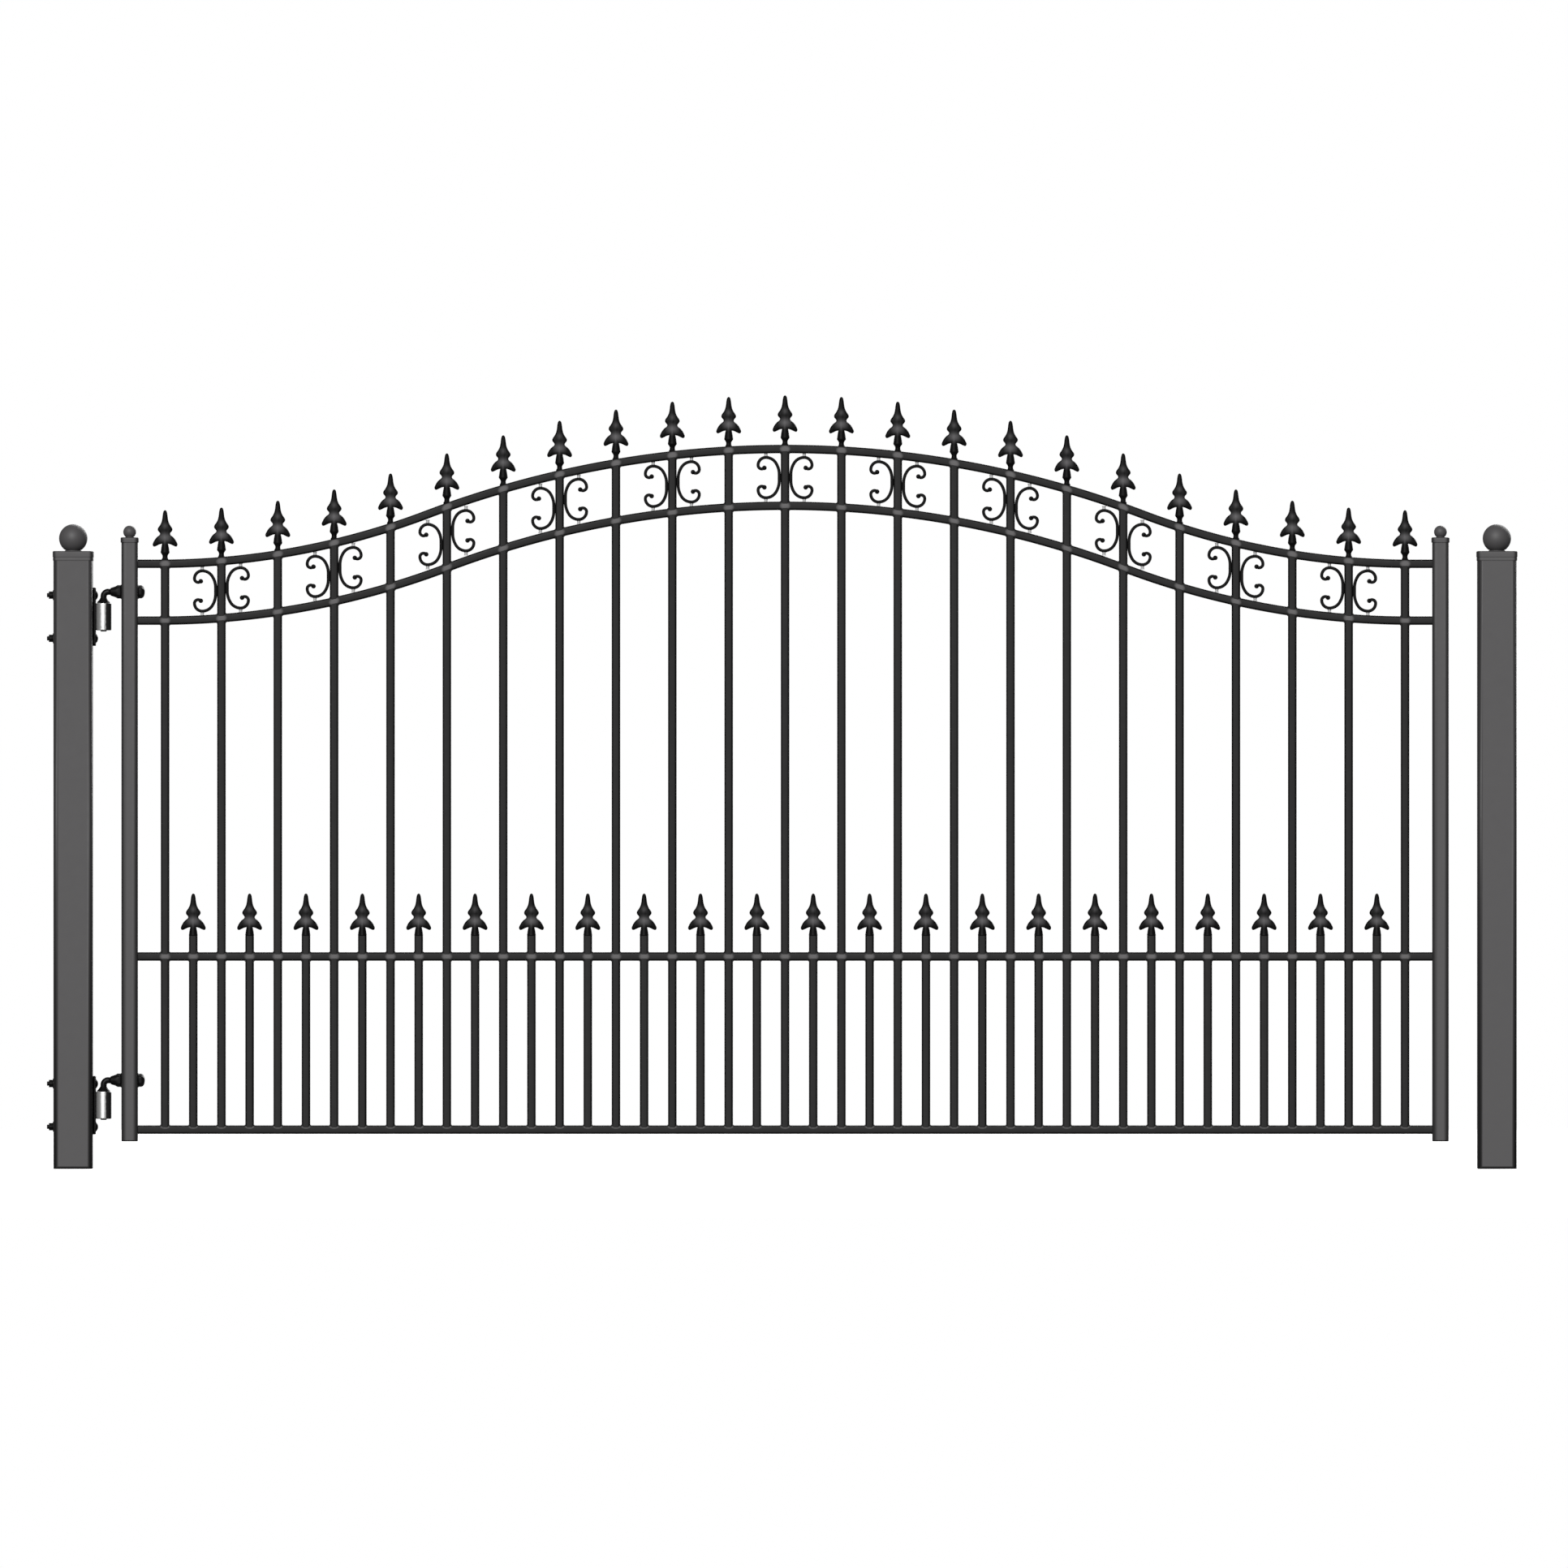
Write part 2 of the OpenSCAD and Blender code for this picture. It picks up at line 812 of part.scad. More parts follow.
// Heading at the start of arc k, turned from straight up.
function heading(k) = k == 0 ? 0 : heading(k - 1) + scroll_arcs[k - 1][1];
function right_of(h) = [cos(h), -sin(h)];
function arc_centre(k) = k == 0 ? [scroll_t / 2 + belly_r, scroll_back]
    : arc_centre(k - 1) + (scroll_arcs[k][0] - scroll_arcs[k - 1][0]) * right_of(heading(k));
function arc_steps(k) = ceil(scroll_arcs[k][1] / arc_step);

// Points of the upper half of a scroll on the line `off` to the inside of its centre line.
function scroll_line(off) = concat(
    [[scroll_t / 2 + off, scroll_back]],
    [for (k = [0 : len(scroll_arcs) - 1])
        for (i = [1 : arc_steps(k)])
            let (h = heading(k) + scroll_arcs[k][1] * i / arc_steps(k))
            arc_centre(k) - (scroll_arcs[k][0] - off) * right_of(h)]
);

// One scroll that opens to +x, its back on x = 0.
module scroll_outline() {
    outer = scroll_line(-scroll_t / 2);
    inner = scroll_line(scroll_t / 2);
    last = len(outer) - 1;
    end = (outer[last] + inner[last]) / 2;
    polygon(concat(reversed(flipped(outer)), outer, reversed(inner), flipped(inner)));
    for (side = [-1, 1])
        translate([end[0], side * end[1]])
            circle(d = snub_d, $fn = 32);
}

// A scroll is centred between the two arch rails at the place of its own top.
scroll_reach = half_bar + scroll_t / 2 + belly_r * (1 - cos(belly_turn)) + shoulder_r * cos(belly_turn);

module scrolls(side) {
    color(IRON_BLACK)
        for (x = scroll_x) {
            top_x = x + side * scroll_reach - leaf_mid;
            mid_z = (arch_height(top_x, -half_bar) + arch_height(top_x, lower_offset + half_bar)) / 2;
            translate([x + side * half_bar, 0, arch_end_z + mid_z])
                upright(scroll_depth)
                    scale([side, 1])
                        scroll_outline();
        }
}

module left_scrolls() {
    scrolls(-1);
}

module right_scrolls() {
    scrolls(1);
}

hinge_post();
hinge_post_foot();
hinge_post_cap();
hinge_post_ball();
closing_post();
closing_post_foot();
closing_post_cap();
closing_post_ball();
upper_hinge_plate();
upper_hinge_barrel();
upper_hinge_bolts();
upper_hinge_nuts();
lower_hinge_plate();
lower_hinge_barrel();
lower_hinge_bolts();
lower_hinge_nuts();
upper_j_bolt();
upper_j_bolt_nuts();
lower_j_bolt();
lower_j_bolt_nuts();
hinge_stile();
hinge_stile_foot();
hinge_stile_cap();
hinge_stile_ball();
free_stile();
free_stile_foot();
free_stile_cap();
free_stile_ball();
bottom_rail();
middle_rail();
lower_arch_rail();
upper_arch_rail();
lower_pickets();
upper_pickets();
arch_pickets();
short_pickets();
top_spears();
short_spears();
left_scrolls();
right_scrolls();
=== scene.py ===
"""Wrought iron driveway gate: the visual model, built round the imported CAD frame.

Every length is in metres. X runs along the gate, Z is up and the outside face looks to -Y.
"""

from __future__ import annotations

import logging
import math
from dataclasses import dataclass, field, replace
from enum import Enum
from typing import Callable, Iterable, Optional, Sequence, Union

import bmesh
import bpy
from mathutils import Matrix, Vector
from mathutils.geometry import delaunay_2d_cdt


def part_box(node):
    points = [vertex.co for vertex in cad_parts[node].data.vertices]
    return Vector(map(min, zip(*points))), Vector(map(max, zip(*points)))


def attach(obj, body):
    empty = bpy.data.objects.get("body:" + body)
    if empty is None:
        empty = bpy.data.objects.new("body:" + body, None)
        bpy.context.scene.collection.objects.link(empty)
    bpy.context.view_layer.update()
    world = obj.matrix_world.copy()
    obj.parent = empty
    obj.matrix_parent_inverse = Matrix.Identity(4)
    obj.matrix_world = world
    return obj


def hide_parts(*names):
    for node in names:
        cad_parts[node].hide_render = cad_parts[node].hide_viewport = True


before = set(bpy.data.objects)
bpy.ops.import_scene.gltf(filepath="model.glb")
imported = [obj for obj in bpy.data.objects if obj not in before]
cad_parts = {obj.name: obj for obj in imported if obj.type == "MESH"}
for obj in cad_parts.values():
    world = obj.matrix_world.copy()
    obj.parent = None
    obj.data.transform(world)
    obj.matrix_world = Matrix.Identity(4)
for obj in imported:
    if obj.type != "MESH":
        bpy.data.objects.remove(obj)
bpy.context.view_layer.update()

LOG = logging.getLogger("gate")
MM = 0.001
SHARP_ANGLE = math.radians(32)
FLAT_WEIGHT = 80
SAME_POINT = 1e-6
THINNEST = 1e-5
CORNER_STEPS = 3
THREAD_SHARE = 0.42
HEX_CORNER = 1.1547
Point2 = tuple[float, float]
Socket = bpy.types.NodeSocket
Thing = bpy.types.Object
Coat = bpy.types.Material


class Body(Enum):
    """The two CAD bodies."""

    POSTS = "posts"
    LEAF = "leaf"


class Slot(Enum):
    """The record's material slots."""

    FRAME = "frame_paint"
    BAR = "bar_paint"
    ORNAMENT = "ornament_paint"
    HINGE = "hinge_iron"
    BARREL = "barrel_zinc"


# ---------- numbers and fields inside node trees ----------


class Num:
    """A number worked out by a node tree. Arithmetic on it adds Math nodes."""

    def __init__(self, nodes: bpy.types.NodeTree, socket: Socket) -> None:
        """Wraps one output socket.

        Args:
            nodes: The tree that holds the socket.
            socket: The output that carries the number.
        """
        self.nodes = nodes
        self.socket = socket

    def _math(self, operation: str, *values: "NumLike") -> "Num":
        """Adds a Math node.

        Args:
            operation: The node's operation.
            values: Its inputs in order.

        Returns:
            The node's result.
        """
        node = self.nodes.nodes.new("ShaderNodeMath")
        node.operation = operation
        for slot, value in zip(node.inputs, values):
            if isinstance(value, Num):
                self.nodes.links.new(value.socket, slot)
            else:
                slot.default_value = value
        return Num(self.nodes, node.outputs[0])

    def __add__(self, other: "NumLike") -> "Num":
        """Sum."""
        return self._math("ADD", self, other)

    def __sub__(self, other: "NumLike") -> "Num":
        """Difference."""
        return self._math("SUBTRACT", self, other)

    def __rsub__(self, other: float) -> "Num":
        """Difference from a plain number."""
        return self._math("SUBTRACT", other, self)

    def __mul__(self, other: "NumLike") -> "Num":
        """Product."""
        return self._math("MULTIPLY", self, other)

    def __truediv__(self, other: "NumLike") -> "Num":
        """Quotient."""
        return self._math("DIVIDE", self, other)

    __radd__ = __add__
    __rmul__ = __mul__

    def at_least(self, limit: "NumLike") -> "Num":
        """The number, or the limit where that is larger."""
        return self._math("MAXIMUM", self, limit)

    def at_most(self, limit: "NumLike") -> "Num":
        """The number, or the limit where that is smaller."""
        return self._math("MINIMUM", self, limit)

    def root(self) -> "Num":
        """Square root, of nothing below zero."""
        return self._math("SQRT", self.at_least(0.0))

    def floor(self) -> "Num":
        """The whole number below."""
        return self._math("FLOOR", self)

    def sine(self) -> "Num":
        """Sine of an angle in radians."""
        return self._math("SINE", self)

    def size(self) -> "Num":
        """Absolute value."""
        return self._math("ABSOLUTE", self)

    def over(self, limit: "NumLike") -> "Num":
        """1 where the number is above the limit, else 0."""
        return self._math("GREATER_THAN", self, limit)

    def step(self, low: float, high: float) -> "Num":
        """A smooth step that goes from 0 at low to 1 at high, or falls where high is below low.

        Args:
            low: The number that gives 0.
            high: The number that gives 1.

        Returns:
            The step, from 0 to 1.
        """
        node = self.nodes.nodes.new("ShaderNodeMapRange")
        node.interpolation_type = "SMOOTHSTEP"
        self.nodes.links.new(self.socket, node.inputs["Value"])
        node.inputs["From Min"].default_value = min(low, high)
        node.inputs["From Max"].default_value = max(low, high)
        node.inputs["To Min"].default_value = 0.0 if low < high else 1.0
        node.inputs["To Max"].default_value = 1.0 if low < high else 0.0
        return Num(self.nodes, node.outputs["Result"])

    def choose(self, yes: "NumLike", no: "NumLike") -> "Num":
        """Yes where this is 1, no where it is 0."""
        return self * yes + (1.0 - self) * no


NumLike = Union[Num, float]
Line = Callable[[Num], NumLike]


@dataclass(frozen=True)
class Row:
    """Places at an even pitch along the gate."""

    first: float
    pitch: float
    count: int

    @property
    def last(self) -> float:
        """The last place."""
        return self.first + self.pitch * (self.count - 1)

    def moved(self, by: float) -> "Row":
        """The same row, further along the gate."""
        return replace(self, first=self.first + by)


class Tree:
    """Builds a Geometry Nodes tree with named inputs and one geometry output."""

    def __init__(self, name: str) -> None:
        """Starts an empty tree.

        Args:
            name: The tree's name.
        """
        self.group = bpy.data.node_groups.new(name, "GeometryNodeTree")
        self.group.interface.new_socket(
            "Geometry", in_out="OUTPUT", socket_type="NodeSocketGeometry"
        )
        self.entry = self.group.nodes.new("NodeGroupInput")
        self.exit = self.group.nodes.new("NodeGroupOutput")
        self.values: dict[str, object] = {}

    def give(self, name: str, kind: str, value: object) -> Socket:
        """Adds a named input to the tree.

        Args:
            name: The input's name.
            kind: The end of its socket type's name, such as Float.
            value: The value the modifier passes in.

        Returns:
            The output of the group input node.
        """
        made = self.group.interface.new_socket(
            name, in_out="INPUT", socket_type=f"NodeSocket{kind}"
        )
        self.values[made.identifier] = value
        return next(s for s in self.entry.outputs if s.identifier == made.identifier)

    def number(self, name: str, value: float) -> Num:
        """A named input that holds a length, an angle or a share."""
        return Num(self.group, self.give(name, "Float", value))

    def node(
        self, kind: str, inputs: Optional[dict[Union[str, int], object]] = None, **settings: object
    ) -> bpy.types.Node:
        """Adds a node.

        Args:
            kind: The node's type, without GeometryNode where that is its start.
            inputs: What goes into its inputs: sockets, numbers, or plain values.
            settings: The node's own properties.

        Returns:
            The node.
        """
        full = kind if kind.startswith(("ShaderNode", "FunctionNode")) else f"GeometryNode{kind}"
        made = self.group.nodes.new(full)
        for key, value in settings.items():
            setattr(made, key, value)
        for key, value in (inputs or {}).items():
            slot = made.inputs[key]
            if isinstance(value, Num):
                value = value.socket
            if isinstance(value, Socket):
                self.group.links.new(value, slot)
            else:
                slot.default_value = value
        return made

    def place(self) -> tuple[Num, Num, Num]:
        """The position of the geometry that a field is read on, as three numbers."""
        split = self.node("ShaderNodeSeparateXYZ", {0: self.node("InputPosition").outputs[0]})
        return tuple(Num(self.group, s) for s in split.outputs)

    def vector(self, x: NumLike, y: NumLike, z: NumLike) -> Socket:
        """Three numbers as one vector."""
        return self.node("ShaderNodeCombineXYZ", {0: x, 1: y, 2: z}).outputs[0]

    def rounded_profile(self, width: float, corner: float) -> Socket:
        """A square outline with rounded corners, which stores how near each point is to one, as the
        mask of painted shade on the corners.

        Args:
            width: The side of the square.
            corner: The radius of its corners.

        Returns:
            The outline, as a curve.
        """
        side, radius = self.number("Side", width), self.number("Corner radius", corner)
        square = self.node(
            "CurvePrimitiveQuadrilateral", {"Width": side, "Height": side}, mode="RECTANGLE"
        )
        filled = {"Curve": square.outputs[0], "Count": CORNER_STEPS, "Radius": radius}
        outline = self.node("FilletCurve", filled, mode="POLY")
        x, y, _ = self.place()
        near = (x.size().at_most(y.size()) - (side * 0.5 - radius)) / radius * 2.0
        stored = {"Geometry": outline.outputs[0], "Name": "edge", "Value": near}
        kept = self.node("StoreNamedAttribute", stored, data_type="FLOAT", domain="POINT")
        return kept.outputs[0]

    def between(self, count: int, start: Socket, end: Socket) -> Socket:
        """Points at even steps from one place to another.

        Args:
            count: How many points.
            start: The first place.
            end: The last place.

        Returns:
            The points.
        """
        given = {"Count": count, "Start Location": start, "Offset": end}
        return self.node("MeshLine", given, mode="END_POINTS", count_mode="TOTAL").outputs[0]

    def row(self, row: Row) -> Socket:
        """Points at the places of a row, on the ground.

        Args:
            row: The row. Each of its numbers becomes an input of the tree.

        Returns:
            The points.
        """
        given = {
            "Count": self.give("Count", "Int", row.count),
            "Start Location": self.vector(self.number("First", row.first), 0.0, 0.0),
            "Offset": self.vector(self.number("Pitch", row.pitch), 0.0, 0.0),
        }
        return self.node("MeshLine", given, mode="OFFSET", count_mode="TOTAL").outputs[0]

    def raised(self, points: Socket, line: Line) -> Socket:
        """Lifts points in the plane of the gate to a line.

        Args:
            points: The points.
            line: The line's height at x.

        Returns:
            The lifted points.
        """
        x, _, _ = self.place()
        given = {"Geometry": points, "Position": self.vector(x, 0.0, line(x))}
        return self.node("SetPosition", given).outputs[0]

    def model(self, source: Thing) -> Socket:
        """The mesh of an object, as an input of the tree."""
        given = {"Object": self.give("Model", "Object", source)}
        return self.node("ObjectInfo", given, transform_space="ORIGINAL").outputs["Geometry"]

    def copies(self, points: Socket, model: Socket) -> Socket:
        """A copy of a model on each point."""
        return self.node("InstanceOnPoints", {"Points": points, "Instance": model}).outputs[0]

    def swept(self, curve: Socket, profile: Socket, scale: Union[Socket, float] = 1.0) -> Socket:
        """A closed bar along a curve.

        Args:
            curve: Its centre line.
            profile: Its outline.
            scale: Size of the outline along the curve.

        Returns:
            The bar.
        """
        given = {"Curve": curve, "Profile Curve": profile, "Scale": scale, "Fill Caps": True}
        return self.node("CurveToMesh", given).outputs[0]

    def finish(self, geometry: Socket, material: Coat) -> None:
        """Ends the tree in Realize Instances and Set Material.

        Args:
            geometry: What the tree has made.
            material: Its finish.
        """
        real = self.node("RealizeInstances", {"Geometry": geometry})
        smooth = self.node("SetShadeSmooth", {"Geometry": real.outputs[0]})
        dressed = self.node("SetMaterial", {"Geometry": smooth.outputs[0], "Material": material})
        self.group.links.new(dressed.outputs[0], self.exit.inputs[0])

    def grow(self, name: str) -> Thing:
        """Runs the tree on an empty mesh and keeps the result as a plain mesh.

        Args:
            name: The new object's name.

        Returns:
            The object, at the origin, with no modifier.
        """
        host = placed(f"{name}_host", bpy.data.meshes.new(f"{name}_host"))
        modifier = host.modifiers.new("Tree", "NODES")
        modifier.node_group = self.group
        for identifier, value in self.values.items():
            modifier[identifier] = value
        return baked(host, name)


# ---------- meshes ----------


def placed(name: str, data: bpy.types.ID) -> Thing:
    """Puts a new object in the scene, at the origin.

    Args:
        name: Its name.
        data: Its mesh, camera or light.

    Returns:
        The object.
    """
    made = bpy.data.objects.new(name, data)
    bpy.context.scene.collection.objects.link(made)
    return made


def baked(host: Thing, name: str) -> Thing:
    """Turns an object with modifiers into a plain mesh object, and removes the first.

    Args:
        host: The object with its modifiers.
        name: The name of the result.

    Returns:
        The plain object, at the origin.
    """
    bpy.context.view_layer.update()
    graph = bpy.context.evaluated_depsgraph_get()
    mesh = bpy.data.meshes.new_from_object(
        host.evaluated_get(graph), preserve_all_data_layers=True, depsgraph=graph
    )
    mesh.name = name
    bpy.data.objects.remove(host)
    return placed(name, mesh)


def turned_outwards(obj: Thing) -> Thing:
    """Merges doubled points and makes every closed shell smooth and face outwards.

    Args:
        obj: The piece to put right.

    Returns:
        The same piece.
    """
    work = bmesh.new()
    work.from_mesh(obj.data)
    bmesh.ops.remove_doubles(work, verts=work.verts, dist=SAME_POINT)
    bmesh.ops.recalc_face_normals(work, faces=work.faces)
    for face in work.faces:
        face.smooth = True
    work.to_mesh(obj.data)
    work.free()
    return obj


def crisp(obj: Thing, bevel: float = 0.0) -> Thing:
    """Rounds the sharp edges of a piece and shades its flats flat.

    Args:
        obj: The piece.
        bevel: Width of the rounding, or 0 for none.

    Returns:
        The finished piece, as a plain mesh.
    """
    name = obj.name
    obj.name = f"{name}_rough"
    turned_outwards(obj)
    if bevel > 0:
        edge = obj.modifiers.new("Edge", "BEVEL")
        edge.width = bevel
        edge.segments = 2
        edge.limit_method = "ANGLE"
        edge.angle_limit = SHARP_ANGLE
        edge.miter_outer = "MITER_ARC"
    even = obj.modifiers.new("Even", "WEIGHTED_NORMAL")
    even.mode = "FACE_AREA"
    even.weight = FLAT_WEIGHT
    even.keep_sharp = True
    return baked(obj, name)


def corner_shade_marked(
    obj: Thing, middle: float, half: float, band: float, top: float = 99.0
) -> Thing:
    """Stores how near each point of an upright tube or cap is to one of its long corners, as the
    mask of painted shade on them.

    Args:
        obj: The tube or cap.
        middle: Its middle along X.
        half: Half its width.
        band: Width of the painted shade band beside a corner.
        top: Height above which everything gets the full painted shade.

    Returns:
        The same piece.
    """
    mark = obj.data.attributes.new("edge", "FLOAT", "POINT")
    for k, vertex in enumerate(obj.data.vertices):
        inner = min(abs(vertex.co.x - middle), abs(vertex.co.y))
        near = (inner - (half - band)) / (0.7 * band)
        mark.data[k].value = 1.0 if vertex.co.z > top else max(0.0, min(1.0, near))
    return obj


def rounded_box_outline(
    half_x: float, half_y: float, corner: float, steps: int, shoulder: float = 0.0
) -> list[Point2]:
    """A rectangle with rounded corners, anticlockwise.

    Args:
        half_x: Half its width.
        half_y: Half its height.
        corner: Radius of its corners.
        steps: Straight pieces in each corner.
        shoulder: How far beyond each corner the flats get a point of their own, or 0 for none.

    Returns:
        Its points.
    """
    points = []
    for quarter, (sx, sy) in enumerate(((1, 1), (-1, 1), (-1, -1), (1, -1))):
        middle = Vector((sx * (half_x - corner), sy * (half_y - corner)))
        turns = [math.pi / 2 * (quarter + i / steps) for i in range(steps + 1)]
        arc = [middle + corner * Vector((math.cos(a), math.sin(a))) for a in turns]
        if shoulder > 0:
            before = Vector((math.sin(turns[0]), -math.cos(turns[0])))
            after = Vector((-math.sin(turns[-1]), math.cos(turns[-1])))
            arc = [arc[0] + before * shoulder, *arc, arc[-1] + after * shoulder]
        points.extend((p.x, p.y) for p in arc)
    return points


def smooth_line(points: Sequence[Point2], steps: int) -> list[Point2]:
    """A smooth line through the points, by Catmull-Rom pieces.

    Args:
        points: The points to pass through.
        steps: Pieces between two of them.

    Returns:
        The denser line, with both ends kept.
    """
    ends = [points[0], *points, points[-1]]
    line = []
    for k in range(1, len(ends) - 2):
        a, b, c, d = (Vector(p) for p in ends[k - 1 : k + 3])
        for i in range(steps):
            t = i / steps
            p = 0.5 * (
                2 * b
                + (c - a) * t
                + (2 * a - 5 * b + 4 * c - d) * t * t
                + (3 * b - a - 3 * c + d) * t**3
            )
            line.append((p.x, p.y))
    return [*line, tuple(points[-1])]


def mm(*points: Point2) -> list[Point2]:
    """Points drawn in millimetres."""
    return [(a * MM, b * MM) for a, b in points]


def circle(radius: float, steps: int) -> list[Point2]:
    """A round outline."""
    turns = [math.tau * i / steps for i in range(steps)]
    return [(radius * math.cos(a), radius * math.sin(a)) for a in turns]


class Shell:
    """Points and faces that grow into one mesh of closed shells."""

    def __init__(self) -> None:
        """Starts with nothing."""
        self.points: list[Vector] = []
        self.faces: list[tuple[int, ...]] = []

    def loft(self, rings: Sequence[Sequence[Vector]], capped: bool = True) -> "Shell":
        """Joins rings of the same number of points.

        Args:
            rings: The rings in order.
            capped: Whether to close both ends.

        Returns:
            The shell itself.
        """
        start, n = len(self.points), len(rings[0])
        for ring in rings:
            self.points.extend(Vector(p) for p in ring)
        for k in range(len(rings) - 1):
            low = start + k * n
            for i in range(n):
                j = (i + 1) % n
                self.faces.append((low + i, low + j, low + n + j, low + n + i))
        if capped:
            self.faces.append(tuple(range(start + n - 1, start - 1, -1)))
            last = start + (len(rings) - 1) * n
            self.faces.append(tuple(range(last, last + n)))
        return self

    def stack(
        self,
        layers: Sequence[tuple[float, float]],
        corner: float,
        place: Vector,
        shoulder: float = 0.0,
    ) -> "Shell":
        """Piles up rounded squares, such as a tube or a cap.

        Args:
            layers: Half width and height of each square.
            corner: Radius of the upright corners.
            place: Where the pile's foot stands.
            shoulder: How far beyond each corner the flats get a point of their own.

        Returns:
            The shell itself.
        """
        rings = []
        for half, z in layers:
            outline = rounded_box_outline(half, half, corner, 6, shoulder)
            rings.append([place + Vector((x, y, z)) for x, y in outline])
        return self.loft(rings)

    def lathe(
        self, side: Sequence[Point2], turn: Matrix, steps: int = 40, capped: bool = True
    ) -> "Shell":
        """Turns a half outline about an axis.

        Args:
            side: Radius and height of each point, from one end to the other.
            turn: Brings the axis from +Z to its place.
            steps: Sides round the axis.
            capped: Whether to close both ends.

        Returns:
            The shell itself.
        """
        rings = [
            [turn @ Vector((x, y, z)) for x, y in circle(max(r, THINNEST), steps)]
            for r, z in side
        ]
        return self.loft(rings, capped)

    def sweep(self, path: Sequence[Point2], outline: Sequence[Point2], place: Vector) -> "Shell":
        """Draws an outline along a path in the upright plane of the gate.

        Args:
            path: X and Z of each point of the path.
            outline: The outline: first number square to the path in its plane, second along Y.
            place: Added to every point.

        Returns:
            The shell itself.
        """
        rings = []
        for k, here in enumerate(path):
            before, after = path[max(k - 1, 0)], path[min(k + 1, len(path) - 1)]
            along = Vector((after[0] - before[0], after[1] - before[1])).normalized()
            side = Vector((-along.y, along.x))
            points = [(here[0] + u * side.x, v, here[1] + u * side.y) for u, v in outline]
            rings.append([place + Vector(p) for p in points])
        return self.loft(rings)

    def object(self, name: str) -> Thing:
        """Makes the object.

        Args:
            name: Its name.

        Returns:
            The object, at the origin, smooth and facing outwards.
        """
        mesh = bpy.data.meshes.new(name)
        mesh.from_pydata([tuple(p) for p in self.points], [], self.faces)
        return turned_outwards(placed(name, mesh))


def along_x(place: Vector, flip: bool = False) -> Matrix:
    """Brings an axis from +Z to +X, or to -X, with its foot at a place.

    Args:
        place: Where the foot goes.
        flip: True for -X.

    Returns:
        The matrix.
    """
    quarter = math.radians(-90 if flip else 90)
    return Matrix.Translation(place) @ Matrix.Rotation(quarter, 4, "Y")


# ---------- finishes ----------

BROAD_SHARE, CLOSE_SHARE, SPECK_SHARE = 1.3, 0.9, 0.7
CLOSE_GLOSS, BROAD_GLOSS = 2.0, 1.2
BROAD_NOISE = (3.1, 3.0)
CLOSE_NOISE = (46.0, 4.0)
RAGGED_NOISE = (140.0, 3.0)


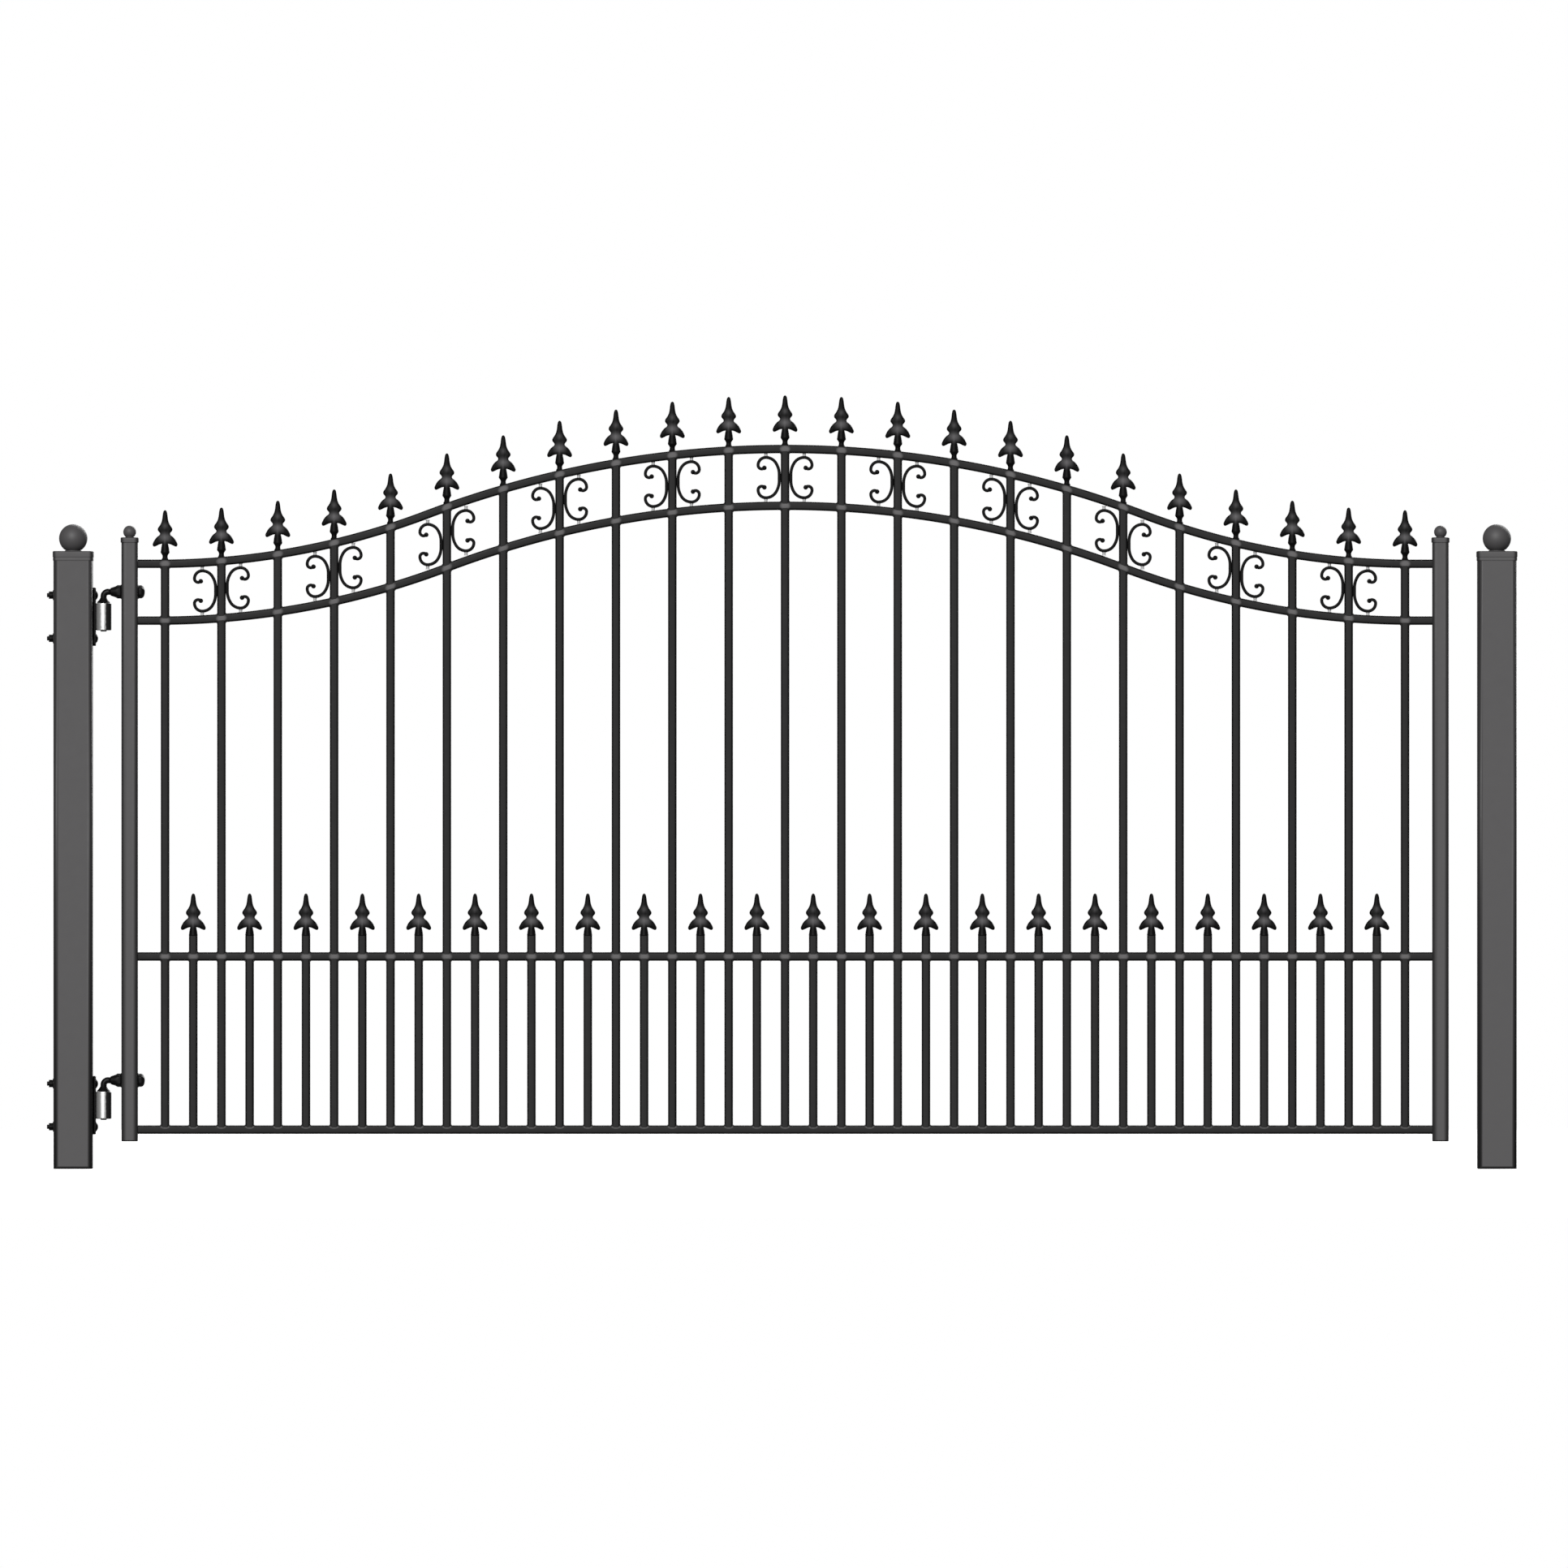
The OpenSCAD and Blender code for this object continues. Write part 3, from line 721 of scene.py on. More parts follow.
@dataclass(frozen=True)
class Finish:
    """A coat on metal: its tone, how it drifts, its gloss and its skin."""

    name: str
    slot: Optional[Slot]
    tone: tuple[float, float, float]
    drift: float = 0.12
    roughness: float = 0.48
    roughness_drift: float = 0.08
    level: float = 0.5
    peel_scale: float = 260.0
    peel_depth: float = 0.05 * MM
    grain_scale: float = 1400.0
    grain_depth: float = 0.02 * MM
    brush: float = 0.0
    # How much painted shade darkens the long corners, read from the mesh's edge mark.
    edge: float = 0.0
    glow: float = 0.0

    def material(self) -> Coat:
        """The finish as a Blender material, made once."""
        made = bpy.data.materials.get(self.name)
        return made or self.build()

    def build(self) -> Coat:
        """Builds the node tree of the finish.

        Returns:
            The new material.
        """
        made = bpy.data.materials.new(self.name)
        made.use_nodes = True
        made.diffuse_color = (*self.tone, 1.0)
        nodes, links = made.node_tree.nodes, made.node_tree.links
        shader = nodes["Principled BSDF"]
        shader.inputs["Emission Color"].default_value = (1.0, 1.0, 1.0, 1.0)
        shader.inputs["Emission Strength"].default_value = self.glow
        shader.inputs["Specular IOR Level"].default_value = self.level
        place = self.place(made)
        if self.brush:
            stretched = nodes.new("ShaderNodeMapping")
            stretched.inputs["Scale"].default_value = (1.0, 1.0, self.brush)
            links.new(place, stretched.inputs["Vector"])
            place = stretched.outputs["Vector"]
        broad = self.noise(made, place, *BROAD_NOISE)
        close = self.noise(made, place, *CLOSE_NOISE)
        speck = self.noise(made, place, self.grain_scale * 0.5, 2.0)
        shade = 1.0 + self.drift * (
            BROAD_SHARE * (broad - 0.5)
            + CLOSE_SHARE * (close - 0.5)
            + SPECK_SHARE * (speck - 0.5)
        )
        shade = self.marked(made, shade)
        colour = nodes.new("ShaderNodeVectorMath")
        colour.operation = "SCALE"
        colour.inputs[0].default_value = self.tone
        links.new(shade.socket, colour.inputs["Scale"])
        links.new(colour.outputs[0], shader.inputs["Base Color"])
        uneven = CLOSE_GLOSS * (close - 0.5) + BROAD_GLOSS * (broad - 0.5)
        gloss = self.roughness + self.roughness_drift * uneven
        links.new(gloss.socket, shader.inputs["Roughness"])
        peel = self.noise(made, place, self.peel_scale, 1.0)
        grain = self.noise(made, place, self.grain_scale, 2.0)
        first = self.bump(made, peel, self.peel_depth, None)
        second = self.bump(made, grain, self.grain_depth, first)
        links.new(second, shader.inputs["Normal"])
        return made

    def marked(self, made: Coat, shade: Num) -> Num:
        """Darkens the long corners as painted shade, where the surface turns away from the light.

        Args:
            made: The material.
            shade: The shade so far.

        Returns:
            The new shade.
        """
        return shade * (1.0 - self.edge * self.corners(made)) if self.edge else shade

    @staticmethod
    def place(made: Coat) -> Socket:
        """The place on the piece."""
        return made.node_tree.nodes.new("ShaderNodeTexCoord").outputs["Object"]

    @staticmethod
    def parts(made: Coat, place: Socket) -> list[Num]:
        """The three numbers of a place."""
        split = made.node_tree.nodes.new("ShaderNodeSeparateXYZ")
        made.node_tree.links.new(place, split.inputs[0])
        return [Num(made.node_tree, part) for part in split.outputs]

    @staticmethod
    def mark(made: Coat, name: str) -> Num:
        """A number that the mesh stores."""
        node = made.node_tree.nodes.new("ShaderNodeAttribute")
        node.attribute_name = name
        return Num(made.node_tree, node.outputs["Fac"])

    def corners(self, made: Coat) -> Num:
        """How far the surface is on a long corner, from 0 to 1: the mask of the painted corner
        shade.
        """
        return self.mark(made, "edge").step(0.0, 1.0)

    @staticmethod
    def noise(
        made: Coat, place: Socket, scale: float, detail: float
    ) -> Num:
        """A noise over the piece.

        Args:
            made: The material.
            place: The coordinates it reads.
            scale: How fine it is, in features to a metre.
            detail: How many finer layers it has.

        Returns:
            The noise, about 0 to 1.
        """
        node = made.node_tree.nodes.new("ShaderNodeTexNoise")
        node.inputs["Scale"].default_value = scale
        node.inputs["Detail"].default_value = detail
        made.node_tree.links.new(place, node.inputs["Vector"])
        return Num(made.node_tree, node.outputs["Fac"])

    @staticmethod
    def bump(
        made: Coat,
        height: Num,
        depth: float,
        normal: Optional[Socket],
    ) -> Socket:
        """A bump layer.

        Args:
            made: The material.
            height: The relief.
            depth: Its depth.
            normal: The layer below, if there is one.

        Returns:
            The bumped normal.
        """
        node = made.node_tree.nodes.new("ShaderNodeBump")
        node.inputs["Distance"].default_value = depth
        made.node_tree.links.new(height.socket, node.inputs["Height"])
        if normal is not None:
            made.node_tree.links.new(normal, node.inputs["Normal"])
        return node.outputs["Normal"]


@dataclass(frozen=True)
class RailPaintedLightFinish(Finish):
    """A rail's coat with painted light: a painted highlight over each crossing, and painted shade
    on the long corners between them.
    """

    # Height at x of the middle of the painted highlights.
    line: Line = lambda x: 0.0
    row: Row = Row(0.0, 0.1, 1)
    # Reach along and across the rail of the painted highlight over each crossing.
    highlight_patch: Point2 = (13.0 * MM, 8.5 * MM)
    fade: Point2 = (1.5, 0.1)
    # Reach either side of a crossing over which the painted corner shade fades out.
    plain: Point2 = (13.0 * MM, 9.0 * MM)
    # How much the painted highlight brightens the coat.
    light: float = 12.0

    def marked(self, made: Coat, shade: Num) -> Num:
        """Paints shade on the long corners and a highlight over the middle of each crossing.

        Args:
            made: The material.
            shade: The shade so far.

        Returns:
            The new shade.
        """
        x, _, z = self.parts(made, self.place(made))
        row = self.row
        count = ((x - row.first) / row.pitch + 0.5).floor()
        nearest = (count * row.pitch + row.first).at_least(row.first).at_most(row.last)
        across = (x - nearest) / self.highlight_patch[0]
        up = (z - self.line(x)) / self.highlight_patch[1]
        # The painted highlight over the nearest crossing, and the painted corner shade that fades
        # out beside it.
        highlight_patch = (across * across + up * up).step(*self.fade)
        near = (x - nearest).size().step(*self.plain)
        painted_corner_shade = self.edge * self.corners(made) * (1.0 - near)
        return shade * (1.0 - painted_corner_shade) * (1.0 + (self.light - 1.0) * highlight_patch)


@dataclass(frozen=True)
class CastingFinish(Finish):
    """Black on castings, with a painted highlight on their raised waists, which the meshes mark."""

    # How much the painted highlight brightens the black.
    rubbed: float = 30.0

    def marked(self, made: Coat, shade: Num) -> Num:
        """Paints the highlight where the mesh marks it.

        Args:
            made: The material.
            shade: The shade so far.

        Returns:
            The new shade.
        """
        return shade * (1.0 + self.rubbed * self.mark(made, "rubbed"))


@dataclass(frozen=True)
class BarrelShadingFinish(Finish):
    """A plated barrel with painted shading across it: a bright metallic strip as a painted
    highlight, painted shade on the post's side and near-black painted shade on the leaf's, the same
    front and back.
    """

    axis: float = 78 * MM
    radius: float = 20 * MM
    # Edges of the painted highlight strip, across the barrel in radii from the axis.
    bright: Point2 = (-0.42, 0.30)
    soft: Point2 = (0.08, 0.05)
    ragged: float = 0.22
    # Brightness left by the painted shade on the post's side.
    thin: float = 0.22
    # Brightness left by the near-black painted shade on the leaf's side.
    black: float = 0.012

    def marked(self, made: Coat, shade: Num) -> Num:
        """Paints the shading across the barrel: the bright strip as a painted highlight, painted
        shade on the post's side and near-black painted shade on the leaf's.

        Args:
            made: The material.
            shade: The shade so far.

        Returns:
            The new shade. The strip alone is made metallic.
        """
        place = self.place(made)
        x, _, _ = self.parts(made, place)
        wander = self.ragged * (self.noise(made, place, *RAGGED_NOISE) - 0.5)
        across = (x - self.axis) / self.radius + wander
        # Painted highlight strip in the middle, painted shade to either side.
        left = across.step(self.bright[0] + self.soft[0], self.bright[0] - self.soft[0])
        right = across.step(self.bright[1] - self.soft[1], self.bright[1] + self.soft[1])
        plated = (1.0 - left) * (1.0 - right)
        shader = made.node_tree.nodes["Principled BSDF"]
        made.node_tree.links.new(plated.socket, shader.inputs["Metallic"])
        return shade * (1.0 - left * (1.0 - self.thin)) * (1.0 - right * (1.0 - self.black))


# ---------- pieces ----------


def hand_over(
    obj: Thing, body: Body, finish: Finish, nodes: Iterable[str] = ()
) -> Thing:
    """Gives a finished piece its coat, its body and the CAD nodes it stands for.

    Args:
        obj: The piece.
        body: The body it moves with.
        finish: Its coat.
        nodes: The CAD nodes it replaces.

    Returns:
        The piece.
    """
    obj.data.materials.clear()
    obj.data.materials.append(finish.material())
    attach(obj, body.value)
    names = list(nodes)
    if names:
        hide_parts(*names)
    LOG.info("%s: %d faces on %s", obj.name, len(obj.data.polygons), body.value)
    return obj


@dataclass(frozen=True)
class ArchRule:
    """The line of the arch: a level end, an arc that bends up, the crown, and the same again."""

    middle: float
    end_z: float
    half: float
    level_end: float = 53 * MM
    rise: float = 295 * MM
    crown_share: float = 0.572
    gap: float = 146 * MM

    @property
    def run(self) -> float:
        """From the middle to where the arch starts to rise."""
        return self.half - self.level_end

    @property
    def radii(self) -> tuple[float, float]:
        """Centre line radii of the crown and of the end arcs."""
        total = (self.run**2 + self.rise**2) / (2 * self.rise)
        return self.crown_share * total, (1 - self.crown_share) * total

    @property
    def turn(self) -> float:
        """Angle through which each arc turns."""
        return math.asin(self.run / sum(self.radii))

    def height(self, x: float, off: float) -> float:
        """Height of the line that runs `off` outside the centre line of the upper rail.

        Args:
            x: Place along the gate.
            off: Distance square to the centre line.

        Returns:
            The height above the ground.
        """
        crown, end = self.radii
        d = abs(x - self.middle)
        if d >= self.run:
            return self.end_z + off
        if d > (crown + off) * math.sin(self.turn):
            return self.end_z + end - math.sqrt((end - off) ** 2 - (self.run - d) ** 2)
        return self.end_z + self.rise - crown + math.sqrt((crown + off) ** 2 - d * d)

    def field(self, x: Num, off: float) -> Num:
        """The same height, worked out by nodes.

        Args:
            x: Place along the gate.
            off: Distance square to the centre line.

        Returns:
            The height above the ground.
        """
        crown, end = self.radii
        crown_off, end_off = crown + off, end - off
        d = (x - self.middle).size()
        far = self.run - d
        bend = (self.end_z + end) - (end_off**2 - far * far).root()
        top = (self.end_z + self.rise - crown) + (crown_off**2 - d * d).root()
        on_bend = d.over(crown_off * math.sin(self.turn))
        return d.over(self.run).choose(self.end_z + off, on_bend.choose(bend, top))


@dataclass
class Layout:
    """Where the CAD frame puts the pieces, read from its boxes."""

    bar: float = 22 * MM
    end_space: float = 70 * MM
    tall_count: int = 23

    def __post_init__(self) -> None:
        """Reads the boxes of the CAD nodes."""
        hinge_low, hinge_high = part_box("hinge_stile")
        free_low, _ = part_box("free_stile")
        self.leaf_left, self.left, self.right = hinge_low.x, hinge_high.x, free_low.x
        self.bottom = self.centre("bottom_rail").z
        self.middle = self.centre("middle_rail").z
        self.arch = ArchRule(
            (self.left + self.right) / 2,
            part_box("upper_arch_rail")[0].z + self.bar / 2,
            (self.right - self.left) / 2,
        )

    @staticmethod
    def centre(node: str) -> Vector:
        """The middle of a CAD node's box."""
        low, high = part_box(node)
        return (low + high) / 2

    @property
    def half(self) -> float:
        """Half the side of a bar."""
        return self.bar / 2

    @property
    def pitch(self) -> float:
        """From one tall picket to the next."""
        return (self.right - self.left - 2 * self.end_space) / (self.tall_count - 1)

    @property
    def tall(self) -> Row:
        """The tall pickets."""
        return Row(self.left + self.end_space, self.pitch, self.tall_count)

    @property
    def short(self) -> Row:
        """The short pickets, between the tall ones."""
        return Row(self.tall.first + self.pitch / 2, self.pitch, self.tall_count - 1)

    @property
    def low(self) -> Row:
        """The pickets under the middle rail."""
        return Row(self.tall.first, self.pitch / 2, 2 * self.tall_count - 1)

    @staticmethod
    def level(height: float) -> Line:
        """A level line."""
        return lambda x: height

    def curve(self, off: float) -> Line:
        """A line that runs `off` outside the centre line of the upper arch rail."""
        return lambda x: self.arch.field(x, off)


@dataclass
class Upright:
    """A square tube that stands up: its black foot plate, slip-over cap, and ball on a seat."""

    node: str
    body: Body
    # Width of the painted shade beside each long corner; the flats also get points there.
    band: float
    foot_edge: float
    skirt: tuple[Point2, ...]
    crown: tuple[Point2, ...]
    seat: tuple[Point2, ...]
    hidden: float
    rings: int
    sides: int
    corner: float = 9 * MM
    # Depth under the cap's top over which the cap gets the full painted shade.
    brow: float = 2 * MM

    @classmethod
    def post(cls, side: str) -> "Upright":
        """A post. Cap and seat are drawn in millimetres from the cap's edge and the seat's foot."""
        return cls(
            f"{side}_post", Body.POSTS, band=13 * MM, foot_edge=1.2 * MM,
            skirt=(
                (2.3, 0.5), (1.2, 0.0), (0.7, 0.5), (0.7, 7.8), (1.5, 8.4), (0.3, 9.0), (0.0, 9.5),
            ),
            crown=((0.0, 2.4), (0.7, 0.8), (2.2, 0.1), (12.0, 0.0)),
            seat=((0.0, 0.0), (21.0, 0.0), (21.6, 0.9), (20.4, 2.0), (18.6, 3.0)),
            hidden=0.18, rings=40, sides=64,
        )  # fmt: skip

    @classmethod
    def stile(cls, side: str) -> "Upright":
        """A stile of the leaf, drawn in the same way."""
        return cls(
            f"{side}_stile", Body.LEAF, band=14 * MM, foot_edge=0.9 * MM,
            skirt=((1.2, 0.4), (0.4, 0.0), (0.0, 0.6)),
            crown=((0.0, 2.6), (0.8, 0.9), (2.4, 0.1), (8.0, 0.0)),
            seat=((0.0, 0.0), (11.0, 0.0), (11.2, 0.6), (10.2, 1.4)),
            hidden=0.2, rings=28, sides=48,
        )  # fmt: skip

    def __post_init__(self) -> None:
        """Reads where the tube stands."""
        self.low, self.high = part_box(self.node)
        self.place = Vector(((self.low.x + self.high.x) / 2, 0, 0))

    def build(self, coat: Finish, iron: Finish) -> None:
        """Makes the four pieces.

        Args:
            coat: The coat of the tube, the cap and the ball.
            iron: The coat of the foot plate.
        """
        half = (self.high.x - self.low.x) / 2
        tube = self.stack([(half, self.low.z), (half, self.high.z)], f"{self.node}_tube")
        # Marks the painted shade on the tube's long corners.
        corner_shade_marked(tube, self.place.x, half, self.band)
        hand_over(tube, self.body, coat, [self.node])
        self.foot(iron)
        self.cap(coat)
        self.ball(coat)

    def stack(
        self, layers: Sequence[Point2], name: str, shoulder: Optional[float] = None
    ) -> Thing:
        """Piles up rounded squares.

        Args:
            layers: Half width and height of each square.
            name: The name of the piece.
            shoulder: How far beyond each corner the flats get a point of their own.

        Returns:
            The piece.
        """
        beyond = self.band - self.corner if shoulder is None else shoulder
        return crisp(Shell().stack(layers, self.corner, self.place, beyond).object(name))

    def foot(self, iron: Finish) -> None:
        """The plate under the tube, with eased edges."""
        node, e = f"{self.node}_foot", self.foot_edge
        low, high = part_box(node)
        half = (high.x - low.x) / 2
        layers = [
            (half - e, low.z),
            (half, low.z + e),
            (half, high.z - e / 2),
            (half - e / 2, high.z),
        ]
        hand_over(self.stack(layers, f"{node}_plate", 0.0), self.body, iron, [node])

    def cap(self, coat: Finish) -> None:
        """The cap: a pressed skirt, and a top that rises a little to the ball."""
        node = f"{self.node}_cap"
        low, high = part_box(node)
        full = (high.x - low.x) / 2
        layers = [(full - inset * MM, low.z + up * MM) for inset, up in self.skirt]
        layers += [(full - inset * MM, high.z - down * MM) for inset, down in self.crown]
        made = self.stack(layers, f"{node}_pressing")
        # Marks painted shade on the cap's long corners and over its whole top rim.
        corner_shade_marked(made, self.place.x, full, self.band, high.z - self.brow)
        hand_over(made, self.body, coat, [node])

    def ball(self, coat: Finish) -> None:
        """The hollow ball, on a turned seat ring that is welded to the cap."""
        node = f"{self.node}_ball"
        low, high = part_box(node)
        radius = (high.x - low.x) / 2
        centre = Vector((self.place.x, 0, high.z - radius))
        rim = centre.z - low.z
        start = math.acos(rim / radius) + self.hidden
        turns = [start + (math.pi - start) * i / self.rings for i in range(self.rings + 1)]
        side = [(r * MM, up * MM - rim) for r, up in self.seat]
        side += [(radius * math.sin(a), -radius * math.cos(a)) for a in turns]
        shell = Shell().lathe(side, Matrix.Translation(centre), self.sides)
        hand_over(crisp(shell.object(f"{node}_casting")), self.body, coat, [node])


@dataclass
class Rails:
    """The two level rails and the two arch rails, each a rounded tube drawn along its line."""

    layout: Layout
    corner: float = 5.5 * MM
    points: int = 353

    def build(self, coat: Finish) -> None:
        """Makes the four rails, each with painted highlights in its coat where pickets cross it.

        Args:
            coat: The bars' coat.
        """
        place = self.layout
        rows = (
            ("bottom_rail", place.level(place.bottom), place.low, place.half),
            ("middle_rail", place.level(place.middle), place.low, 0.0),
            ("lower_arch_rail", place.curve(-place.arch.gap), place.tall, 0.0),
            ("upper_arch_rail", place.curve(0.0), place.tall, 0.0),
        )
        for node, line, row, lift in rows:
            own = {"name": f"{coat.name}_on_{node}", "line": self.highlight_line(line, lift), "row": row}
            self.rail(node, line, RailPaintedLightFinish(**{**vars(coat), **own}))

    @staticmethod
    def highlight_line(line: Line, lift: float) -> Line:
        """The line of the painted highlights: the rail's own, or higher by a lift."""
        return lambda x: line(x) + lift

    def rail(self, node: str, line: Line, coat: Finish) -> None:
        """One rail.

        Args:
            node: The CAD node it stands for.
            line: Height of its centre line at x.
            coat: Its coat.
        """
        tree, place = Tree(node), self.layout
        left = tree.vector(tree.number("Left end", place.left), 0.0, 0.0)
        right = tree.vector(tree.number("Right end", place.right), 0.0, 0.0)
        bent = tree.raised(tree.between(self.points, left, right), line)
        curve = tree.node("MeshToCurve", {"Mesh": bent})
        upright = tree.node("SetCurveNormal", {"Curve": curve.outputs[0]}, mode="Z_UP")
        tube = tree.swept(upright.outputs[0], tree.rounded_profile(place.bar, self.corner))
        tree.finish(tube, coat.material())
        hand_over(crisp(tree.grow(f"{node}_tube")), Body.LEAF, coat, [node])


@dataclass
class Pickets:
    """The rows of pickets, each cut to the rail it meets and ground flush with it."""

    layout: Layout
    corner: float = 5.5 * MM

    def build(self, coat: Finish) -> None:
        """Makes the four rows.

        Args:
            coat: The bars' coat.
        """
        place, gap = self.layout, self.layout.arch.gap
        into = place.half - self.corner
        stand = place.level(place.middle + into)
        under, over = place.level(place.bottom + into), place.level(place.middle - into)
        top = place.level(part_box("short_pickets")[1].z)
        rows = (
            ("lower_pickets", place.low, under, over),
            ("upper_pickets", place.tall, stand, place.curve(-gap - into)),
            ("arch_pickets", place.tall, place.curve(-gap + into), place.curve(-into)),
            ("short_pickets", place.short, stand, top),
        )
        for node, row, foot, head in rows:
            self.row(node, row, foot, head, coat)

    def row(self, node: str, row: Row, foot: Line, head: Line, coat: Finish) -> None:
        """One row of pickets.

        Args:
            node: The CAD node it stands for.
            row: Where they are.
            foot: Height of the foot at x.
            head: Height of the head at x.
            coat: Their coat.
        """
        tree = Tree(node)
        span = {"Start": (0.0, 0.0, 0.0), "End": (0.0, 0.0, 1.0)}
        line = tree.node("CurvePrimitiveLine", span, mode="POINTS").outputs[0]
        bar = tree.swept(line, tree.rounded_profile(self.layout.bar, self.corner))
        real = tree.node("RealizeInstances", {"Geometry": tree.copies(tree.row(row), bar)})
        x, y, z = tree.place()
        height = z.over(0.5).choose(head(x), foot(x))
        given = {"Geometry": real.outputs[0], "Position": tree.vector(x, y, height)}
        tree.finish(tree.node("SetPosition", given).outputs[0], coat.material())
        hand_over(crisp(tree.grow(f"{node}_bars")), Body.LEAF, coat, [node])


@dataclass
class Spears:
    """Cast spears: a blade with a raised middle and two barbs, a teardrop bulb, and a neck."""

    layout: Layout
    height: float = 127.5 * MM
    width: float = 64 * MM
    thickness: float = 12 * MM
    neck: float = 13.5 * MM
    neck_height: float = 15 * MM
    bulb: float = 23 * MM
    grid: float = 2.1 * MM
    sunk: float = 0.3 * MM
    swell: float = 6.5 * MM
    fullness: float = 0.9
    ridge: Point2 = (5.0 * MM, 0.12)
    ridge_start: float = 2 * MM
    clear: float = 0.75 * MM
    taper: tuple[Point2, ...] = (
        (0, 0.3), (20, 0.55), (50, 0.9), (70, 1.0), (84, 0.9), (95, 0.6), (200, 0.6),
    )  # fmt: skip
    # Painted highlights on the blade: distance from the tip, reach along and across, and share.
    waists: tuple[tuple[float, ...], ...] = ((71, 10, 19, 1.0), (41, 7, 9, 0.45))
    shank: float = 86

    @property
    def bulb_z(self) -> float:
        """Height of the widest place of the bulb."""
        return self.neck_height + 3 * MM

    def outline(self) -> list[Point2]:
        """The right half of the blade, from the tip to the hollow under the barb."""
        w, n = self.width / MM / 2, self.neck / MM
        side = [
            (0.0, 0.6), (1.7, 1.2), (4.2, 4.0), (6.0, 12), (7.2, 22), (9.2, 31), (13.0, 39),
            (17.6, 45.5), (19.0, 50), (18.0, 54), (14.2, 58.5), (13.2, 61.5), (14.8, 65),
            (w * 0.66, 70), (w * 0.84, 77), (w * 0.98, 86), (w, 90), (w * 0.95, 93.5),
            (w * 0.84, 94.5), (w * 0.62, 91.5), (w * 0.42, 88.5), (n * 0.3, 86.5),
        ]  # fmt: skip
        return [(x * MM, self.height - z * MM) for x, z in smooth_line(side, 3)]

    def depth(self, z: float) -> float:
        """Half the thickness of the blade at a height, thin at the tip and at the barbs' ends."""
        down = (self.height - z) / MM
        for (a, low), (b, high) in zip(self.taper, self.taper[1:]):
            if down <= b:
                return self.thickness / 2 * (low + (high - low) * (down - a) / (b - a))
        return self.thickness / 2 * self.taper[-1][1]

    def blade(self, shell: Shell) -> None:
        """Adds the blade: its outline filled with points that swell to both faces.

        Args:
            shell: The shell that it joins.
        """
        right = self.outline()
        rim = [*right, *[(-x, z) for x, z in reversed(right) if x > 1e-9]]
        edges = [(i, (i + 1) % len(rim)) for i in range(len(rim))]
        corners = [Vector(p) for p in rim]

        def reach(p: Vector) -> float:
            """Distance from a point to the rim."""
            best = 1.0
            for a, b in edges:
                span = corners[b] - corners[a]
                t = max(0.0, min(1.0, (p - corners[a]).dot(span) / max(span.length_squared, 1e-12)))
                best = min(best, (corners[a] + span * t - p).length)
            return best

        inner = []
        rows = int(self.height / self.grid) + 1
        across = int(self.width / 2 / self.grid) + 1
        for k in range(rows):
            for i in range(-across, across + 1):
                p = Vector(((i + 0.5 * (k % 2)) * self.grid, k * self.grid * 0.9))
                if reach(p) > self.clear:
                    inner.append(p)
        spine = [Vector((0.0, self.height - d * MM)) for d in range(3, 86, 2)]
        points, _, faces, *_ = delaunay_2d_cdt(
            [*corners, *inner, *spine], edges, [list(range(len(rim)))], 1, 1e-7
        )
        front, back = [], []
        for p in points:
            edge = reach(Vector(p))
            swell = min(edge / self.swell, 1.0)
            ridge = max(0.0, 1.0 - abs(p.x) / self.ridge[0]) * self.ridge[1]
            round_off = math.sqrt(1 - (1 - swell) ** 2) * self.fullness
            y = self.depth(p.y) * (round_off + ridge * min(1.0, edge / self.ridge_start))
            on_rim = edge < SAME_POINT
            shell.points.append(Vector((p.x, 0.0 if on_rim else -y, p.y)))
            front.append(len(shell.points) - 1)
            if on_rim:
                back.append(front[-1])
            else:
                shell.points.append(Vector((p.x, y, p.y)))
                back.append(len(shell.points) - 1)
        for face in faces:
            shell.faces.append(tuple(front[i] for i in face))
            shell.faces.append(tuple(back[i] for i in reversed(face)))

    def waist_highlight_at(self, place: Vector) -> float:
        """How strong the painted highlight is at a place.

        Each waist has its distance from the tip, its reach along and across, and its share.

        Args:
            place: The place, in the model's own frame.

        Returns:
            The painted highlight, from 0 to 1.
        """
        down, side = (self.height - place.z) / MM, abs(place.x) / MM
        if down >= self.shank:
            return 0.0
        return max(
            math.exp(-(((down - at) / along) ** 2)) * max(0.0, 1.0 - side / across) * share
            for at, along, across, share in self.waists
        )

    def template(self, name: str, foot: Sequence[Point2]) -> Thing:
        """One spear that stands on the origin.

        Args:
            name: Its name.
            foot: Half outline below the bulb.

        Returns:
            The spear. It is only copied from, and then removed.
        """
        shell = Shell()
        r, z = self.bulb / 2, self.bulb_z
        body = [
            (r, z + 1.5 * MM), (r * 0.94, z + 5 * MM), (r * 0.85, z + 13 * MM),
            (r * 0.62, z + 26 * MM), (r * 0.4, z + 37 * MM), (r * 0.12, z + 45 * MM),
            (0.0, z + 47 * MM),
        ]  # fmt: skip
        side = [foot[0], *smooth_line([*foot[1:], *body], 2)]
        shell.lathe(side, Matrix.Identity(4), 20)
        self.blade(shell)
        made = shell.object(name)
        marks = made.data.attributes
        for mark in ("seat", "rubbed"):
            marks.new(mark, "FLOAT", "POINT")
        seat, rubbed = marks["seat"], marks["rubbed"]
        # Each point also gets the strength of its painted highlight.
        for k, vertex in enumerate(made.data.vertices):
            seat.data[k].value = 1.0 if vertex.co.z < foot[0][1] + 0.4 * MM else 0.0
            rubbed.data[k].value = self.waist_highlight_at(vertex.co)
        return made

